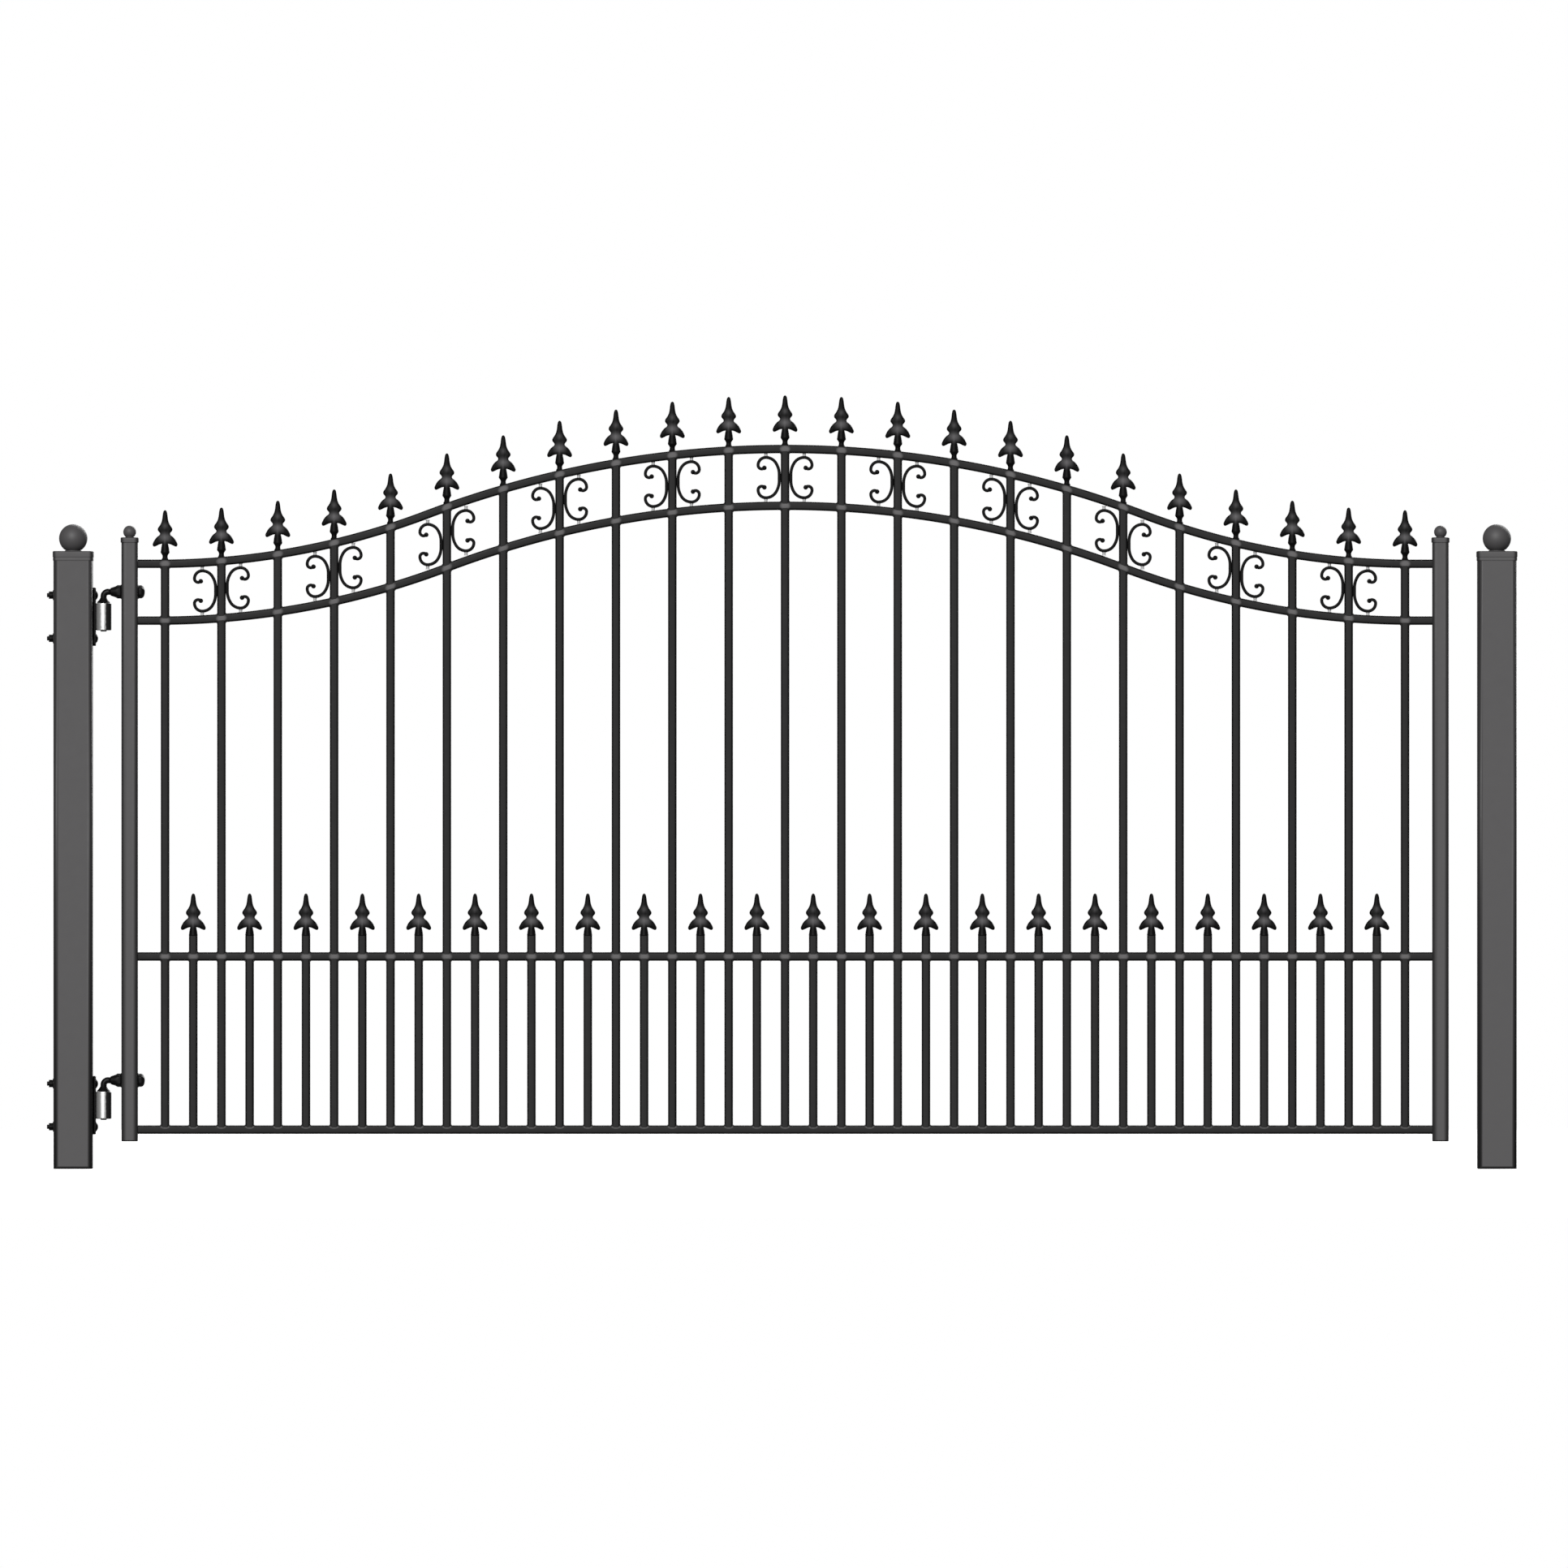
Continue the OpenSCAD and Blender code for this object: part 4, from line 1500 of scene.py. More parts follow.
    def row(
        self, node: str, model: Thing, row: Row, ground: Line, coat: Finish
    ) -> None:
        """One row of spears. The model is copied from, and then removed.

        Args:
            node: The CAD node it stands for.
            model: The spear to copy.
            row: Where they are.
            ground: Height at x of what they stand on.
            coat: Their coat.
        """
        tree = Tree(node)
        spears = tree.copies(tree.raised(tree.row(row), ground), tree.model(model))
        real = tree.node("RealizeInstances", {"Geometry": spears})
        seat = tree.node("InputNamedAttribute", {"Name": "seat"}, data_type="FLOAT")
        x, y, _ = tree.place()
        given = {
            "Geometry": real.outputs[0],
            "Selection": Num(tree.group, seat.outputs["Attribute"]).over(0.5),
            "Position": tree.vector(x, y, ground(x) - self.sunk),
        }
        tree.finish(tree.node("SetPosition", given).outputs[0], coat.material())
        made = turned_outwards(tree.grow(f"{node}_castings"))
        bpy.data.objects.remove(model)
        hand_over(made, Body.LEAF, coat, [node])

    def build(self, coat: Finish) -> None:
        """Makes the spears on the arch and the spears on the short pickets.

        Args:
            coat: Their coat.
        """
        place = self.layout
        n, r = self.neck / 2, self.bulb / 2
        flared = [
            (0.0, 0.0), (n + 2.6 * MM, 0.0), (n + 1.7 * MM, 1.4 * MM), (n + 0.5 * MM, 3.2 * MM),
            (n, 5.0 * MM), (n, self.neck_height - 5 * MM), (r * 0.85, self.neck_height),
            (r * 0.97, self.neck_height + 2 * MM),
        ]  # fmt: skip
        top = self.template("top_spear_model", flared)
        self.row("top_spears", top, place.tall, place.curve(place.half), coat)
        flat = [(0.0, self.bulb_z), (r * 0.8, self.bulb_z), (r * 0.9, self.bulb_z + 0.5 * MM)]
        short = self.template("short_spear_model", flat)
        stand = place.level(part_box("short_spears")[0].z - self.bulb_z)
        self.row("short_spears", short, place.short, stand, coat)


@dataclass
class Scrolls:
    """C-scrolls of flat bar with rolled ends, back to back on every second tall picket."""

    layout: Layout
    bar: float = 8 * MM
    depth: float = 12 * MM
    back: float = 8.5 * MM
    snub: float = 12 * MM
    arcs: tuple[Point2, ...] = ((54 * MM, 33), (30.5 * MM, 57), (20 * MM, 90), (9.5 * MM, 135))
    edge: float = 2.0 * MM
    arc_step: float = 6.0

    def upper_half(self) -> list[Point2]:
        """Centre line of the upper half, from the back to the rolled end."""
        line = [(self.bar / 2, self.back)]
        centre = Vector((self.bar / 2 + self.arcs[0][0], self.back))
        heading, before = 0.0, self.arcs[0][0]
        for radius, turn in self.arcs:
            out = Vector((math.cos(math.radians(heading)), -math.sin(math.radians(heading))))
            centre = centre + out * (radius - before)
            steps = math.ceil(turn / self.arc_step)
            for i in range(1, steps + 1):
                h = math.radians(heading + turn * i / steps)
                p = centre - radius * Vector((math.cos(h), -math.sin(h)))
                line.append((p.x, p.y))
            heading, before = heading + turn, radius
        return line

    @property
    def reach(self) -> float:
        """From the middle of its picket to the place of a scroll's top."""
        (belly, turn), (shoulder, _) = self.arcs[:2]
        bend = math.cos(math.radians(turn))
        return self.layout.half + self.bar / 2 + belly * (1 - bend) + shoulder * bend

    @property
    def top(self) -> float:
        """Half the height of a scroll."""
        return max(z for _, z in self.upper_half()) + self.bar / 2

    def template(self, side: int) -> Thing:
        """One scroll with its back on x = 0.

        Args:
            side: 1 to open to +X, -1 to open to -X.

        Returns:
            The scroll. It is only copied from, and then removed.
        """
        half = self.upper_half()
        path = [*[(x, -z) for x, z in reversed(half)], *half]
        path = [(side * x, z) for x, z in path]
        outline = rounded_box_outline(self.bar / 2, self.depth / 2, self.edge, 2)
        shell = Shell().sweep(path, outline, Vector())
        r, d, e = self.snub / 2, self.depth / 2, self.edge
        for end in (path[0], path[-1]):
            turn = Matrix.Translation(Vector((end[0], 0, end[1]))) @ Matrix.Rotation(
                math.pi / 2, 4, "X"
            )
            roll = [(0, -d), (r - e, -d), (r - 0.3 * e, -d + 0.3 * e), (r, -d + e)]
            roll = [*roll, *[(a, -b) for a, b in reversed(roll)]]
            shell.lathe(roll, turn, 20)
        return shell.object(f"scroll_model_{'right' if side > 0 else 'left'}")

    def build(self, coat: Finish, weld: Finish) -> None:
        """Makes the left and the right scrolls, and the weld spots that hold them to the rails.

        Args:
            coat: Their coat.
            weld: The finish of the weld spots.
        """
        sides = ((-1, "left"), (1, "right"))
        for side, word in sides:
            bars = self.along(f"{word}_scroll_bars", self.template(side), side, coat)
            hand_over(crisp(bars), Body.LEAF, coat, [f"{word}_scrolls"])
        spots = [self.weld_spots(f"weld_spots_{word}", side, weld) for side, word in sides]
        joined(spots, "scroll_weld_spots")
        hand_over(spots[0], Body.LEAF, weld)

    def along(
        self, name: str, model: Thing, side: int, coat: Finish
    ) -> Thing:
        """Copies a model to the place of each scroll on one side, and removes it.

        Args:
            name: The name of the result.
            model: What is copied.
            side: 1 for the right side of the pickets, -1 for the left.
            coat: Its coat.

        Returns:
            The copies as one mesh.
        """
        place, gap = self.layout, self.layout.arch.gap
        row = Row(place.tall.first + place.pitch, 2 * place.pitch, place.tall_count // 2)
        tree = Tree(name)
        reach = tree.number("Top of the scroll", side * (self.reach - place.half))

        def middle(x: Num) -> Num:
            """Half way between the arch rails, over the scroll's top."""
            top = x + reach
            return (place.curve(-place.half)(top) + place.curve(-gap + place.half)(top)) * 0.5

        spots = tree.raised(tree.row(row.moved(side * place.half)), middle)
        tree.finish(tree.copies(spots, tree.model(model)), coat.material())
        bpy.context.view_layer.update()
        made = tree.grow(name)
        bpy.data.objects.remove(model)
        return made

    def weld_spots(self, name: str, side: int, weld: Finish) -> Thing:
        """Weld spots that bridge from each scroll's top and bottom to the rails.

        Args:
            name: The name of the result.
            side: 1 for the right side of the pickets, -1 for the left.
            weld: Their finish.

        Returns:
            The spots of one side.
        """
        place, arch = self.layout, self.layout.arch
        top_x = place.tall.first + place.pitch * (place.tall_count // 2) + side * self.reach
        over, under = (arch.height(top_x, off) for off in (-place.half, -arch.gap + place.half))
        low, high = self.top - 1.2 * MM, (over - under) / 2 + 1.6 * MM
        tall = high - low
        profile = [
            (0.0, low), (4.4 * MM, low), (4.8 * MM, low + 0.2 * tall),
            (4.0 * MM, low + 0.45 * tall), (4.3 * MM, low + 0.7 * tall),
            (5.4 * MM, high - 0.6 * MM), (5.4 * MM, high), (0.0, high),
        ]  # fmt: skip
        turn = Matrix.Translation(Vector((side * (self.reach - place.half), 0, 0)))
        shell = Shell()
        for sign in (-1, 1):
            shell.lathe([(r, sign * z) for r, z in profile], turn, 10)
        return turned_outwards(self.along(name, shell.object("weld_spot_model"), side, weld))


def joined(parts: Sequence[Thing], name: str) -> None:
    """Joins pieces into the first one. The others are removed.

    Args:
        parts: The pieces.
        name: The name of the result.
    """
    every = list(parts)
    with bpy.context.temp_override(
        active_object=every[0],
        object=every[0],
        selected_editable_objects=every,
        selected_objects=every,
    ):
        bpy.ops.object.join()
    every[0].name = every[0].data.name = name


@dataclass
class WeldBeads:
    """Rippled beads in the corners between pickets and rails."""

    layout: Layout
    radius: float = 2.3 * MM
    clear: float = 3 * MM
    ripples: int = 7

    def build(self, coat: Finish) -> None:
        """Makes the beads of every row of joints as one piece.

        Args:
            coat: Their coat.
        """
        place, half, gap = self.layout, self.layout.half, self.layout.arch.gap
        rows = (
            (place.low, place.level(place.bottom + half)),
            (place.low, place.level(place.middle - half)),
            (place.tall, place.level(place.middle + half)),
            (place.short, place.level(place.middle + half)),
            (place.tall, place.curve(-gap - half)),
            (place.tall, place.curve(-gap + half)),
            (place.tall, place.curve(-half)),
        )
        made = [
            self.row(f"weld_beads_{k}_{side}", row.moved(side * half), line, coat)
            for k, (row, line) in enumerate(rows)
            for side in (-1, 1)
        ]
        joined(made, "weld_beads")
        hand_over(made[0], Body.LEAF, coat)

    def row(self, name: str, row: Row, line: Line, coat: Finish) -> Thing:
        """The beads on one side of a row of pickets.

        Args:
            name: The name of the row.
            row: Where they are.
            line: Height of the joint at x.
            coat: Their coat.

        Returns:
            The beads.
        """
        tree = Tree(name)
        radius = tree.number("Bead radius", self.radius)
        length = tree.number("Bead length", self.layout.bar - self.clear)
        ends = [tree.vector(0.0, length * share, 0.0) for share in (-0.5, 0.5)]
        spine = tree.node("MeshToCurve", {"Mesh": tree.between(2 * self.ripples + 1, *ends)})
        index = Num(tree.group, tree.node("InputIndex").outputs[0])
        wave = (index * (math.pi / 2) + 0.6).sine().size() * 0.28 + 0.72
        ring = tree.node("CurvePrimitiveCircle", {"Resolution": 6, "Radius": 1.0}, mode="RADIUS")
        sized = tree.node("SetCurveRadius", {"Curve": spine.outputs[0], "Radius": wave * radius})
        along = tree.node("InputRadius").outputs[0]
        bead = tree.swept(sized.outputs[0], ring.outputs[0], along)
        tree.finish(tree.copies(tree.raised(tree.row(row), line), bead), coat.material())
        return turned_outwards(tree.grow(name))


@dataclass
class Thread:
    """Rolled thread on a rod along X, as a ridge that winds round a thinner core."""

    radius: float
    pitch: float

    @property
    def depth(self) -> float:
        """Height of the ridge."""
        return self.pitch * THREAD_SHARE

    def wind(self, name: str, start: Vector, length: float, coat: Finish) -> Thing:
        """Winds the ridge.

        Args:
            name: The piece's name.
            start: Middle of the rod where the thread starts.
            length: Length of the thread along +X.
            coat: Its coat.

        Returns:
            The ridge.
        """
        tree = Tree(name)
        turns = tree.number("Turns", length / self.pitch)
        radius = tree.number("Winding radius", self.radius - self.depth * 0.5)
        rise = tree.number("Length", length)
        ridge = tree.number("Ridge radius", self.depth * 0.5)
        given = {"Rotations": turns, "Start Radius": radius, "End Radius": radius, "Height": rise}
        spiral = tree.node("CurveSpiral", {"Resolution": 26, **given})
        ring = tree.node("CurvePrimitiveCircle", {"Resolution": 4, "Radius": ridge}, mode="RADIUS")
        wound = tree.swept(spiral.outputs[0], ring.outputs[0])
        given = {"Translation": tuple(start), "Rotation": (0.0, math.pi / 2, 0.0)}
        laid = tree.node("Transform", {"Geometry": wound, **given})
        tree.finish(laid.outputs[0], coat.material())
        return turned_outwards(tree.grow(name))


@dataclass
class Hinge:
    """One hinge: plate, barrel and through bolts on the post, and the J-bolt on the leaf."""

    word: str
    layout: Layout
    rod: float = 16 * MM
    bend: float = 12 * MM
    bolt: float = 12 * MM
    bolt_rise: float = 55.5 * MM
    bolt_pitch: float = 1.75 * MM
    rod_pitch: float = 2.0 * MM
    bolt_bare: float = 16 * MM
    nut_flats: float = 19 * MM
    washer: float = 2.5 * MM
    rod_bare: float = 28 * MM
    rod_nut_flats: float = 30 * MM
    rod_nut_tip: float = 10 * MM
    rod_nut_root: float = 18.2 * MM
    flange: float = 3 * MM

    def __post_init__(self) -> None:
        """Reads the hinge's place from the CAD boxes."""
        low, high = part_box(f"{self.word}_hinge_plate")
        self.plate_low, self.plate_high = low, high
        self.z = (low.z + high.z) / 2
        low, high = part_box(f"{self.word}_hinge_barrel")
        self.barrel_low, self.barrel_high = low, high
        self.barrel_r = (high.y - low.y) / 2
        self.axis = high.x - self.barrel_r
        low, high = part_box(f"{self.word}_j_bolt")
        self.pin_low = low.z
        self.rod_z = high.z - self.rod / 2
        self.rod_end = high.x

    def build(self, iron: Finish, zinc: Finish) -> None:
        """Makes every piece of the hinge.

        Args:
            iron: The black coat.
            zinc: The barrel's plating.
        """
        self.plate(iron)
        self.barrel(zinc)
        self.bolts(iron)
        self.nuts(iron)
        self.j_bolt(iron)
        self.rod_nuts(iron)

    def plate(self, iron: Finish) -> None:
        """The plate on the post, with eased edges and corners."""
        low, high = self.plate_low, self.plate_high
        half_y, half_z = (high.y - low.y) / 2, (high.z - low.z) / 2
        outline = rounded_box_outline(half_y, half_z, 6 * MM, 6)
        eased = ((low.x, 0.0), (high.x - 1.4 * MM, 0.0), (high.x - 0.4 * MM, 0.5 * MM))
        rings = []
        for x, shrink in (*eased, (high.x, 1.5 * MM)):
            k_y, k_z = 1 - shrink / half_y, 1 - shrink / half_z
            rings.append([Vector((x, y * k_y, self.z + z * k_z)) for y, z in outline])
        made = crisp(Shell().loft(rings).object(f"{self.word}_hinge_plate_forging"))
        hand_over(made, Body.POSTS, iron, [f"{self.word}_hinge_plate"])

    def barrel(self, zinc: Finish) -> None:
        """The turned barrel and the saddle that carries it."""
        low, high, r = self.barrel_low, self.barrel_high, self.barrel_r
        bore, e = self.rod / 2 + 0.05 * MM, 2.2 * MM
        height = high.z - low.z
        side = [
            (bore, 0.0), (r - e, 0.0), (r - 0.3 * e, 0.3 * e), (r, e), (r, height - e),
            (r - 0.3 * e, height - 0.3 * e), (r - e, height), (bore + 0.8 * MM, height),
            (bore, height - 0.8 * MM), (bore, 0.0),
        ]  # fmt: skip
        turn = Matrix.Translation(Vector((self.axis, 0, low.z)))
        shell = Shell().lathe(side, turn, 56, capped=False)
        saddle = rounded_box_outline(12 * MM, height / 2 - 2 * MM, 2.5 * MM, 3)
        mid = (low.z + high.z) / 2
        back, front = low.x, self.axis - self.rod / 2 - 1.2 * MM
        shell.loft([[Vector((x, y, mid + z)) for y, z in saddle] for x in (back, front)])
        made = crisp(shell.object(f"{self.word}_hinge_barrel_turning"))
        hand_over(made, Body.POSTS, zinc, [f"{self.word}_hinge_barrel"])

    def pair(self, name: str, model: Thing, coat: Finish) -> Thing:
        """Copies a model to both bolts of the hinge.

        Args:
            name: The name of the result.
            model: What is copied, at the hinge's own height. It is removed.
            coat: Its coat.

        Returns:
            The two copies as one mesh.
        """
        tree = Tree(name)
        rise = tree.number("Bolt rise", self.bolt_rise)
        low, high = (tree.vector(0.0, 0.0, rise * sign) for sign in (-1.0, 1.0))
        copies = tree.copies(tree.between(2, low, high), tree.model(model))
        tree.finish(copies, coat.material())
        made = crisp(tree.grow(name))
        bpy.data.objects.remove(model)
        return made

    def bolts(self, iron: Finish) -> None:
        """The carriage bolts: domed heads on the plate, threaded tips on the far side."""
        node = f"{self.word}_hinge_bolts"
        low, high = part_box(node)
        face, r = self.plate_high.x, self.bolt / 2
        head_r, head_h = 13 * MM, high.x - face
        ball = (head_r**2 + head_h**2) / (2 * head_h)
        dome = [(head_r - 0.3 * MM, 0.0), (head_r, 0.35 * MM)]
        dome += [
            (ball * math.sin(a), head_h - ball * (1 - math.cos(a)))
            for a in (math.asin(0.97 * head_r / ball) * (1 - i / 8) for i in range(9))
        ]
        tip, core = face - low.x, r - THREAD_SHARE * self.bolt_pitch
        shank = [
            (0.0, -tip), (core - 1.0 * MM, -tip), (core, -tip + 1.0 * MM),
            (core, -tip + self.bolt_bare), (r, -tip + self.bolt_bare + 1 * MM), (r, 0.0),
        ]  # fmt: skip
        shell = Shell().lathe([*shank, *dome], along_x(Vector((face, 0, self.z))), 36)
        parts = [self.pair(f"{node}_forgings", shell.object("bolt_model"), iron)]
        thread = Thread(r - 0.05 * MM, self.bolt_pitch)
        for sign in (-1, 1):
            start = Vector((low.x + 0.6 * MM, 0, self.z + sign * self.bolt_rise))
            parts.append(thread.wind(f"bolt_thread_{sign}", start, 8 * MM, iron))
        joined(parts, f"{node}_forgings")
        hand_over(parts[0], Body.POSTS, iron, [node])

    def nuts(self, iron: Finish) -> None:
        """The washers and chamfered nuts on the far side of the post."""
        node = f"{self.word}_hinge_nuts"
        low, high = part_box(node)
        shell, t = Shell(), self.washer
        washer = mm((6.6, 0), (12.4, 0), (13, 0.6), (13, 1.9), (12.4, 2.5), (6.6, 2.5))
        shell.lathe(washer, along_x(Vector((high.x, 0, self.z)), True), 40)
        foot, height = along_x(Vector((high.x - t, 0, self.z)), True), high.x - low.x - t
        apothem = self.nut_flats / 2
        rings = []
        for z, limit in ((0.0, 1.02), (0.06, 1.16), (0.86, 1.16), (1.0, 1.0)):
            radii = [(a, min(hex_reach(a, apothem), apothem * limit)) for a in round_turns(36)]
            rings.append(
                [foot @ Vector((r * math.cos(a), r * math.sin(a), z * height)) for a, r in radii]
            )
        shell.loft(rings)
        made = self.pair(f"{node}_turnings", shell.object("nut_model"), iron)
        hand_over(made, Body.POSTS, iron, [node])

    def j_bolt(self, iron: Finish) -> None:
        """The J-bolt: pin, coned collar, bend and threaded rod."""
        node = f"{self.word}_j_bolt"
        r, b = self.rod / 2, self.bend
        threaded = self.layout.leaf_left - self.rod_bare
        path = [(self.axis, self.pin_low + 1.2 * MM), (self.axis, self.rod_z - b - 12 * MM)]
        path += [
            (self.axis + b * (1 - math.cos(a)), self.rod_z - b + b * math.sin(a))
            for a in (math.pi / 2 * i / 14 for i in range(15))
        ]
        path.append((threaded, self.rod_z))
        shell = Shell().sweep(path, circle(r, 32), Vector())
        chamfer = [(0.0, 0.0), (r - 1.2 * MM, 0.0), (r, 1.2 * MM), (r, 6 * MM), (0.0, 6 * MM)]
        shell.lathe(chamfer, Matrix.Translation(Vector((self.axis, 0, self.pin_low))), 32)
        core, end = r - THREAD_SHARE * self.rod_pitch, self.rod_end - threaded
        side = [(0.0, -2 * MM), (r, -2 * MM), (r, 0.0), (core, 0.7 * MM), (core, end), (0.0, end)]
        shell.lathe(side, along_x(Vector((threaded, 0, self.rod_z))), 32)
        foot = self.barrel_high.z + 0.3 * MM
        collar = mm(
            (0, 0), (15.6, 0), (16.7, 0.5), (17, 1.4), (16.2, 2.6), (12.6, 6.6), (10.2, 9.6),
            (9.0, 12), (8.2, 13.4), (0, 13.4),
        )  # fmt: skip
        shell.lathe(collar, Matrix.Translation(Vector((self.axis, 0, foot))), 40)
        made = crisp(shell.object(f"{node}_forging"), 0.4 * MM)
        start = Vector((threaded + 0.6 * MM, 0, self.rod_z))
        length = self.layout.leaf_left - threaded - 4 * MM
        thread = Thread(r - 0.02 * MM, self.rod_pitch)
        joined([made, thread.wind(f"{node}_thread", start, length, iron)], f"{node}_forging")
        hand_over(made, Body.LEAF, iron, [node])

    def rod_nuts(self, iron: Finish) -> None:
        """The tapered flanged nut on the hinge side of the stile and the closed nut beyond it."""
        node = f"{self.word}_j_bolt_nuts"
        low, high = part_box(node)
        near, far, t = self.layout.leaf_left, self.layout.left, self.flange
        shell = Shell()
        flange = mm((0, 0), (17.6, 0), (18.5, 0.8), (18.5, 1.7), (16.4, 3), (0, 3.2))
        shell.lathe(flange, along_x(Vector((near, 0, self.rod_z)), True), 48)
        shell.lathe(flange, along_x(Vector((far, 0, self.rod_z))), 48)
        length, inner = near - t - low.x, t - 0.2 * MM
        rings = []
        for share in (0.0, 0.12, 0.3, 0.5, 0.7, 0.88, 1.0):
            cone = self.rod_nut_tip + (self.rod_nut_root - self.rod_nut_tip) * (1 - share)
            x = near - inner - share * (length + 0.2 * MM)
            rings.append((x, min(1.0, cone / (self.rod_nut_flats / 2))))
        self.hex_loft(shell, rings, True)
        reach = high.x - far - t
        dome = [
            (far + inner + reach * (0.35 + 0.65 * math.sin(a)), math.cos(a) ** 0.8)
            for a in (math.pi / 2 * i / 8 for i in range(8))
        ]
        self.hex_loft(shell, [(far + inner, 1.0), *dome, (high.x, 0.12)], False)
        made = crisp(shell.object(f"{node}_turnings"), 0.5 * MM)
        hand_over(made, Body.LEAF, iron, [node])

    def hex_loft(self, shell: Shell, rings: Sequence[Point2], tapered: bool) -> None:
        """Adds a hexagon that gets smaller along its length.

        Args:
            shell: The shell it joins.
            rings: Place along X, and share of the full size there.
            tapered: True where a cone cuts the corners and the flats stay.
        """
        apothem = self.rod_nut_flats / 2
        made = []
        for x, share in rings:
            full = apothem * (HEX_CORNER if share >= 1 else 1.0)
            cone = max(share * full, self.rod_nut_tip)
            ring = []
            for a in round_turns(48):
                side = hex_reach(a, apothem)
                r = min(side, cone) if tapered else min(side, apothem * 1.13) * share
                ring.append(Vector((x, r * math.cos(a), self.rod_z + r * math.sin(a))))
            made.append(ring)
        shell.loft(made)


def round_turns(steps: int) -> list[float]:
    """Even angles all the way round."""
    return [math.tau * i / steps for i in range(steps)]


def hex_reach(angle: float, apothem: float) -> float:
    """From the middle of a hexagon to its side, at an angle."""
    turned = (angle + math.pi / 6) % (math.pi / 3) - math.pi / 6
    return apothem / math.cos(turned)


# ---------- the studio ----------


@dataclass(frozen=True)
class Sun:
    """A broad soft light: where it comes from and how wide it is in degrees, and its strength."""

    name: str
    turn: float
    rise: float
    angle: float
    strength: float


@dataclass
class Studio:
    """Pale floor, plain soft light, and a long lens square to the gate."""

    centre: Vector = field(default_factory=lambda: Vector((1.8263, 0.0, 0.9882)))
    width: float = 4.029
    distance: float = 80.0
    sky: float = 0.18
    sensor: float = 36.0
    clip: Point2 = (0.1, 400.0)
    light_distance: float = 12.0
    floor_side: float = 9.0
    floor_drop: float = 0.2 * MM
    suns: tuple[Sun, ...] = (
        Sun("key", -12.0, 24.0, 30.0, 3.4),
        Sun("back", 160.0, 26.0, 40.0, 3.0),
    )

    def camera(self) -> None:
        """A camera so far off, with so long a lens, that the gate shows with no perspective."""
        data = bpy.data.cameras.new("view")
        data.sensor_width = self.sensor
        data.lens = self.sensor * self.distance / self.width
        data.clip_start, data.clip_end = self.clip
        made = placed("view", data)
        made.location = self.centre - Vector((0, self.distance, 0))
        made.rotation_euler = (math.pi / 2, 0, 0)
        bpy.context.scene.camera = made

    def light(self, sun: Sun) -> None:
        """A light from far off, the same over the whole gate.

        Args:
            sun: The light. Its turn goes round from the front towards the right.
        """
        data = bpy.data.lights.new(sun.name, "SUN")
        data.energy = sun.strength
        data.angle = math.radians(sun.angle)
        made = placed(sun.name, data)
        a, e = math.radians(sun.turn), math.radians(sun.rise)
        way = Vector((math.sin(a) * math.cos(e), -math.cos(a) * math.cos(e), math.sin(e)))
        made.location = self.centre + way * self.light_distance
        made.rotation_euler = (-way).to_track_quat("-Z", "Y").to_euler()

    def world(self) -> None:
        """A white ground behind the gate that lights it only a little."""
        made = bpy.data.worlds.new("studio")
        made.use_nodes = True
        nodes, links = made.node_tree.nodes, made.node_tree.links
        back = nodes["Background"]
        back.inputs["Color"].default_value = (1, 1, 1, 1)
        path = nodes.new("ShaderNodeLightPath")
        seen = Num(made.node_tree, path.outputs["Is Camera Ray"])
        strength = seen * (1.0 - self.sky) + self.sky
        links.new(strength.socket, back.inputs["Strength"])
        bpy.context.scene.world = made

    def floor(self) -> None:
        """The pale floor, wide enough for every view."""
        side, x, z = self.floor_side, self.centre.x, -self.floor_drop
        shell = Shell()
        corners = ((-1, -1), (1, -1), (1, 1), (-1, 1))
        shell.points = [Vector((x + a * side, b * side, z)) for a, b in corners]
        shell.faces = [(0, 1, 2, 3)]
        made = shell.object("floor")
        made.data.materials.append(PALE_FLOOR.material())
        made.visible_diffuse = made.visible_glossy = False

    def build(self) -> None:
        """Makes the camera, the lights, the world and the floor."""
        bpy.context.scene.view_settings.view_transform = "Standard"
        self.camera()
        self.world()
        self.floor()
        for sun in self.suns:
            self.light(sun)


PALE_FLOOR = Finish(
    "pale_floor", None, (0.8, 0.8, 0.8), drift=0.02, roughness=0.8, roughness_drift=0.03,
    glow=0.5, peel_depth=0.0, grain_depth=0.0,
)  # fmt: skip
# Its edge value paints shade on the long corners.
FRAME_PAINT = Finish(
    "satin_charcoal_frame_paint", Slot.FRAME, (0.062, 0.0597, 0.061), drift=0.10, roughness=0.55,
    edge=0.66, level=0.35,
)  # fmt: skip
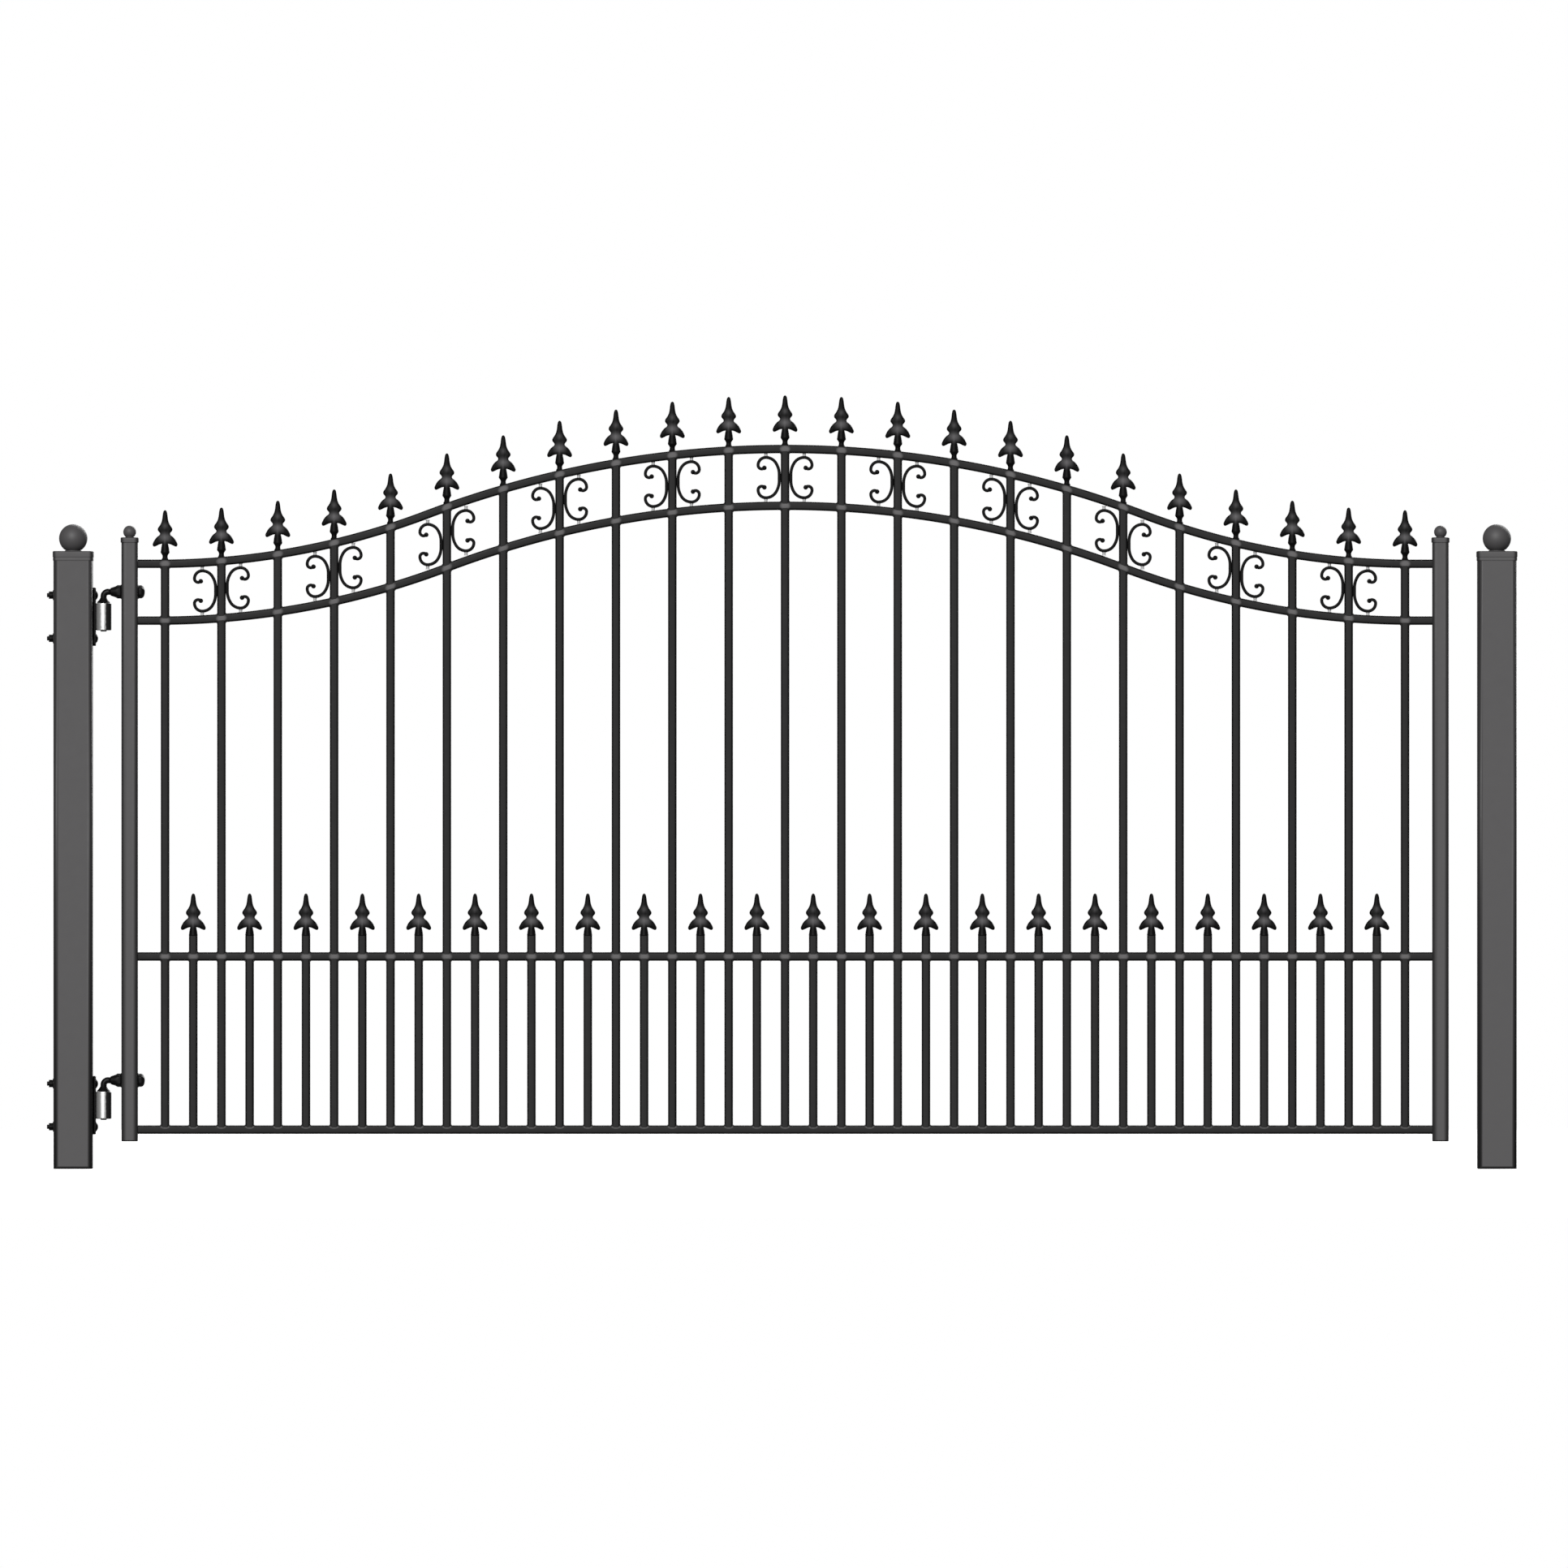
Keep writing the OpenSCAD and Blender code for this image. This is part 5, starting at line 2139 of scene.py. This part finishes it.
# The bars carry the frame's paint; this darker tone is painted shade, and its edge value paints
# shade on their corners.
SHADED_BAR_PAINT = Finish(
    "satin_charcoal_bar_paint", Slot.BAR, (0.0090, 0.0087, 0.0088), drift=0.12, roughness=0.55,
    edge=0.8, level=0.2,
)  # fmt: skip
ORNAMENT_BLACK = CastingFinish(
    "satin_black_on_castings", Slot.ORNAMENT, (0.0035, 0.0034, 0.0035), drift=0.3, roughness=0.5,
    peel_scale=420.0, peel_depth=0.12 * MM, grain_scale=1700.0, grain_depth=0.05 * MM, level=0.07,
)  # fmt: skip
HINGE_BLACK = Finish(
    "satin_black_on_hinge_iron", Slot.HINGE, (0.0035, 0.0034, 0.0035), drift=0.2, roughness=0.42,
    peel_scale=380.0, peel_depth=0.06 * MM, grain_scale=1500.0, level=0.12,
)  # fmt: skip
# Plating with painted shading across the barrel.
BARREL_ZINC = BarrelShadingFinish(
    "bright_zinc_on_turned_steel", Slot.BARREL, (0.92, 0.92, 0.91), drift=0.08, roughness=0.34,
    roughness_drift=0.1, level=0.3, peel_scale=900.0, peel_depth=0.02 * MM, brush=9.0,
)  # fmt: skip
WELD_GREY = Finish(
    "dull_grey_weld_metal", Slot.ORNAMENT, (0.42, 0.42, 0.42), drift=0.25, roughness=0.5,
    peel_scale=900.0, peel_depth=0.1 * MM,
)  # fmt: skip


def main() -> None:
    """Builds the gate piece by piece, then the studio."""
    logging.basicConfig(level=logging.INFO, format="%(name)s: %(message)s")
    layout = Layout()
    for side in ("hinge", "closing"):
        Upright.post(side).build(FRAME_PAINT, HINGE_BLACK)
    for side in ("hinge", "free"):
        Upright.stile(side).build(FRAME_PAINT, HINGE_BLACK)
    Rails(layout).build(SHADED_BAR_PAINT)
    Pickets(layout).build(SHADED_BAR_PAINT)
    WeldBeads(layout).build(SHADED_BAR_PAINT)
    Spears(layout).build(ORNAMENT_BLACK)
    Scrolls(layout).build(ORNAMENT_BLACK, WELD_GREY)
    for word in ("upper", "lower"):
        Hinge(word, layout).build(HINGE_BLACK, BARREL_ZINC)
    Studio().build()


if __name__ == "__main__":
    main()
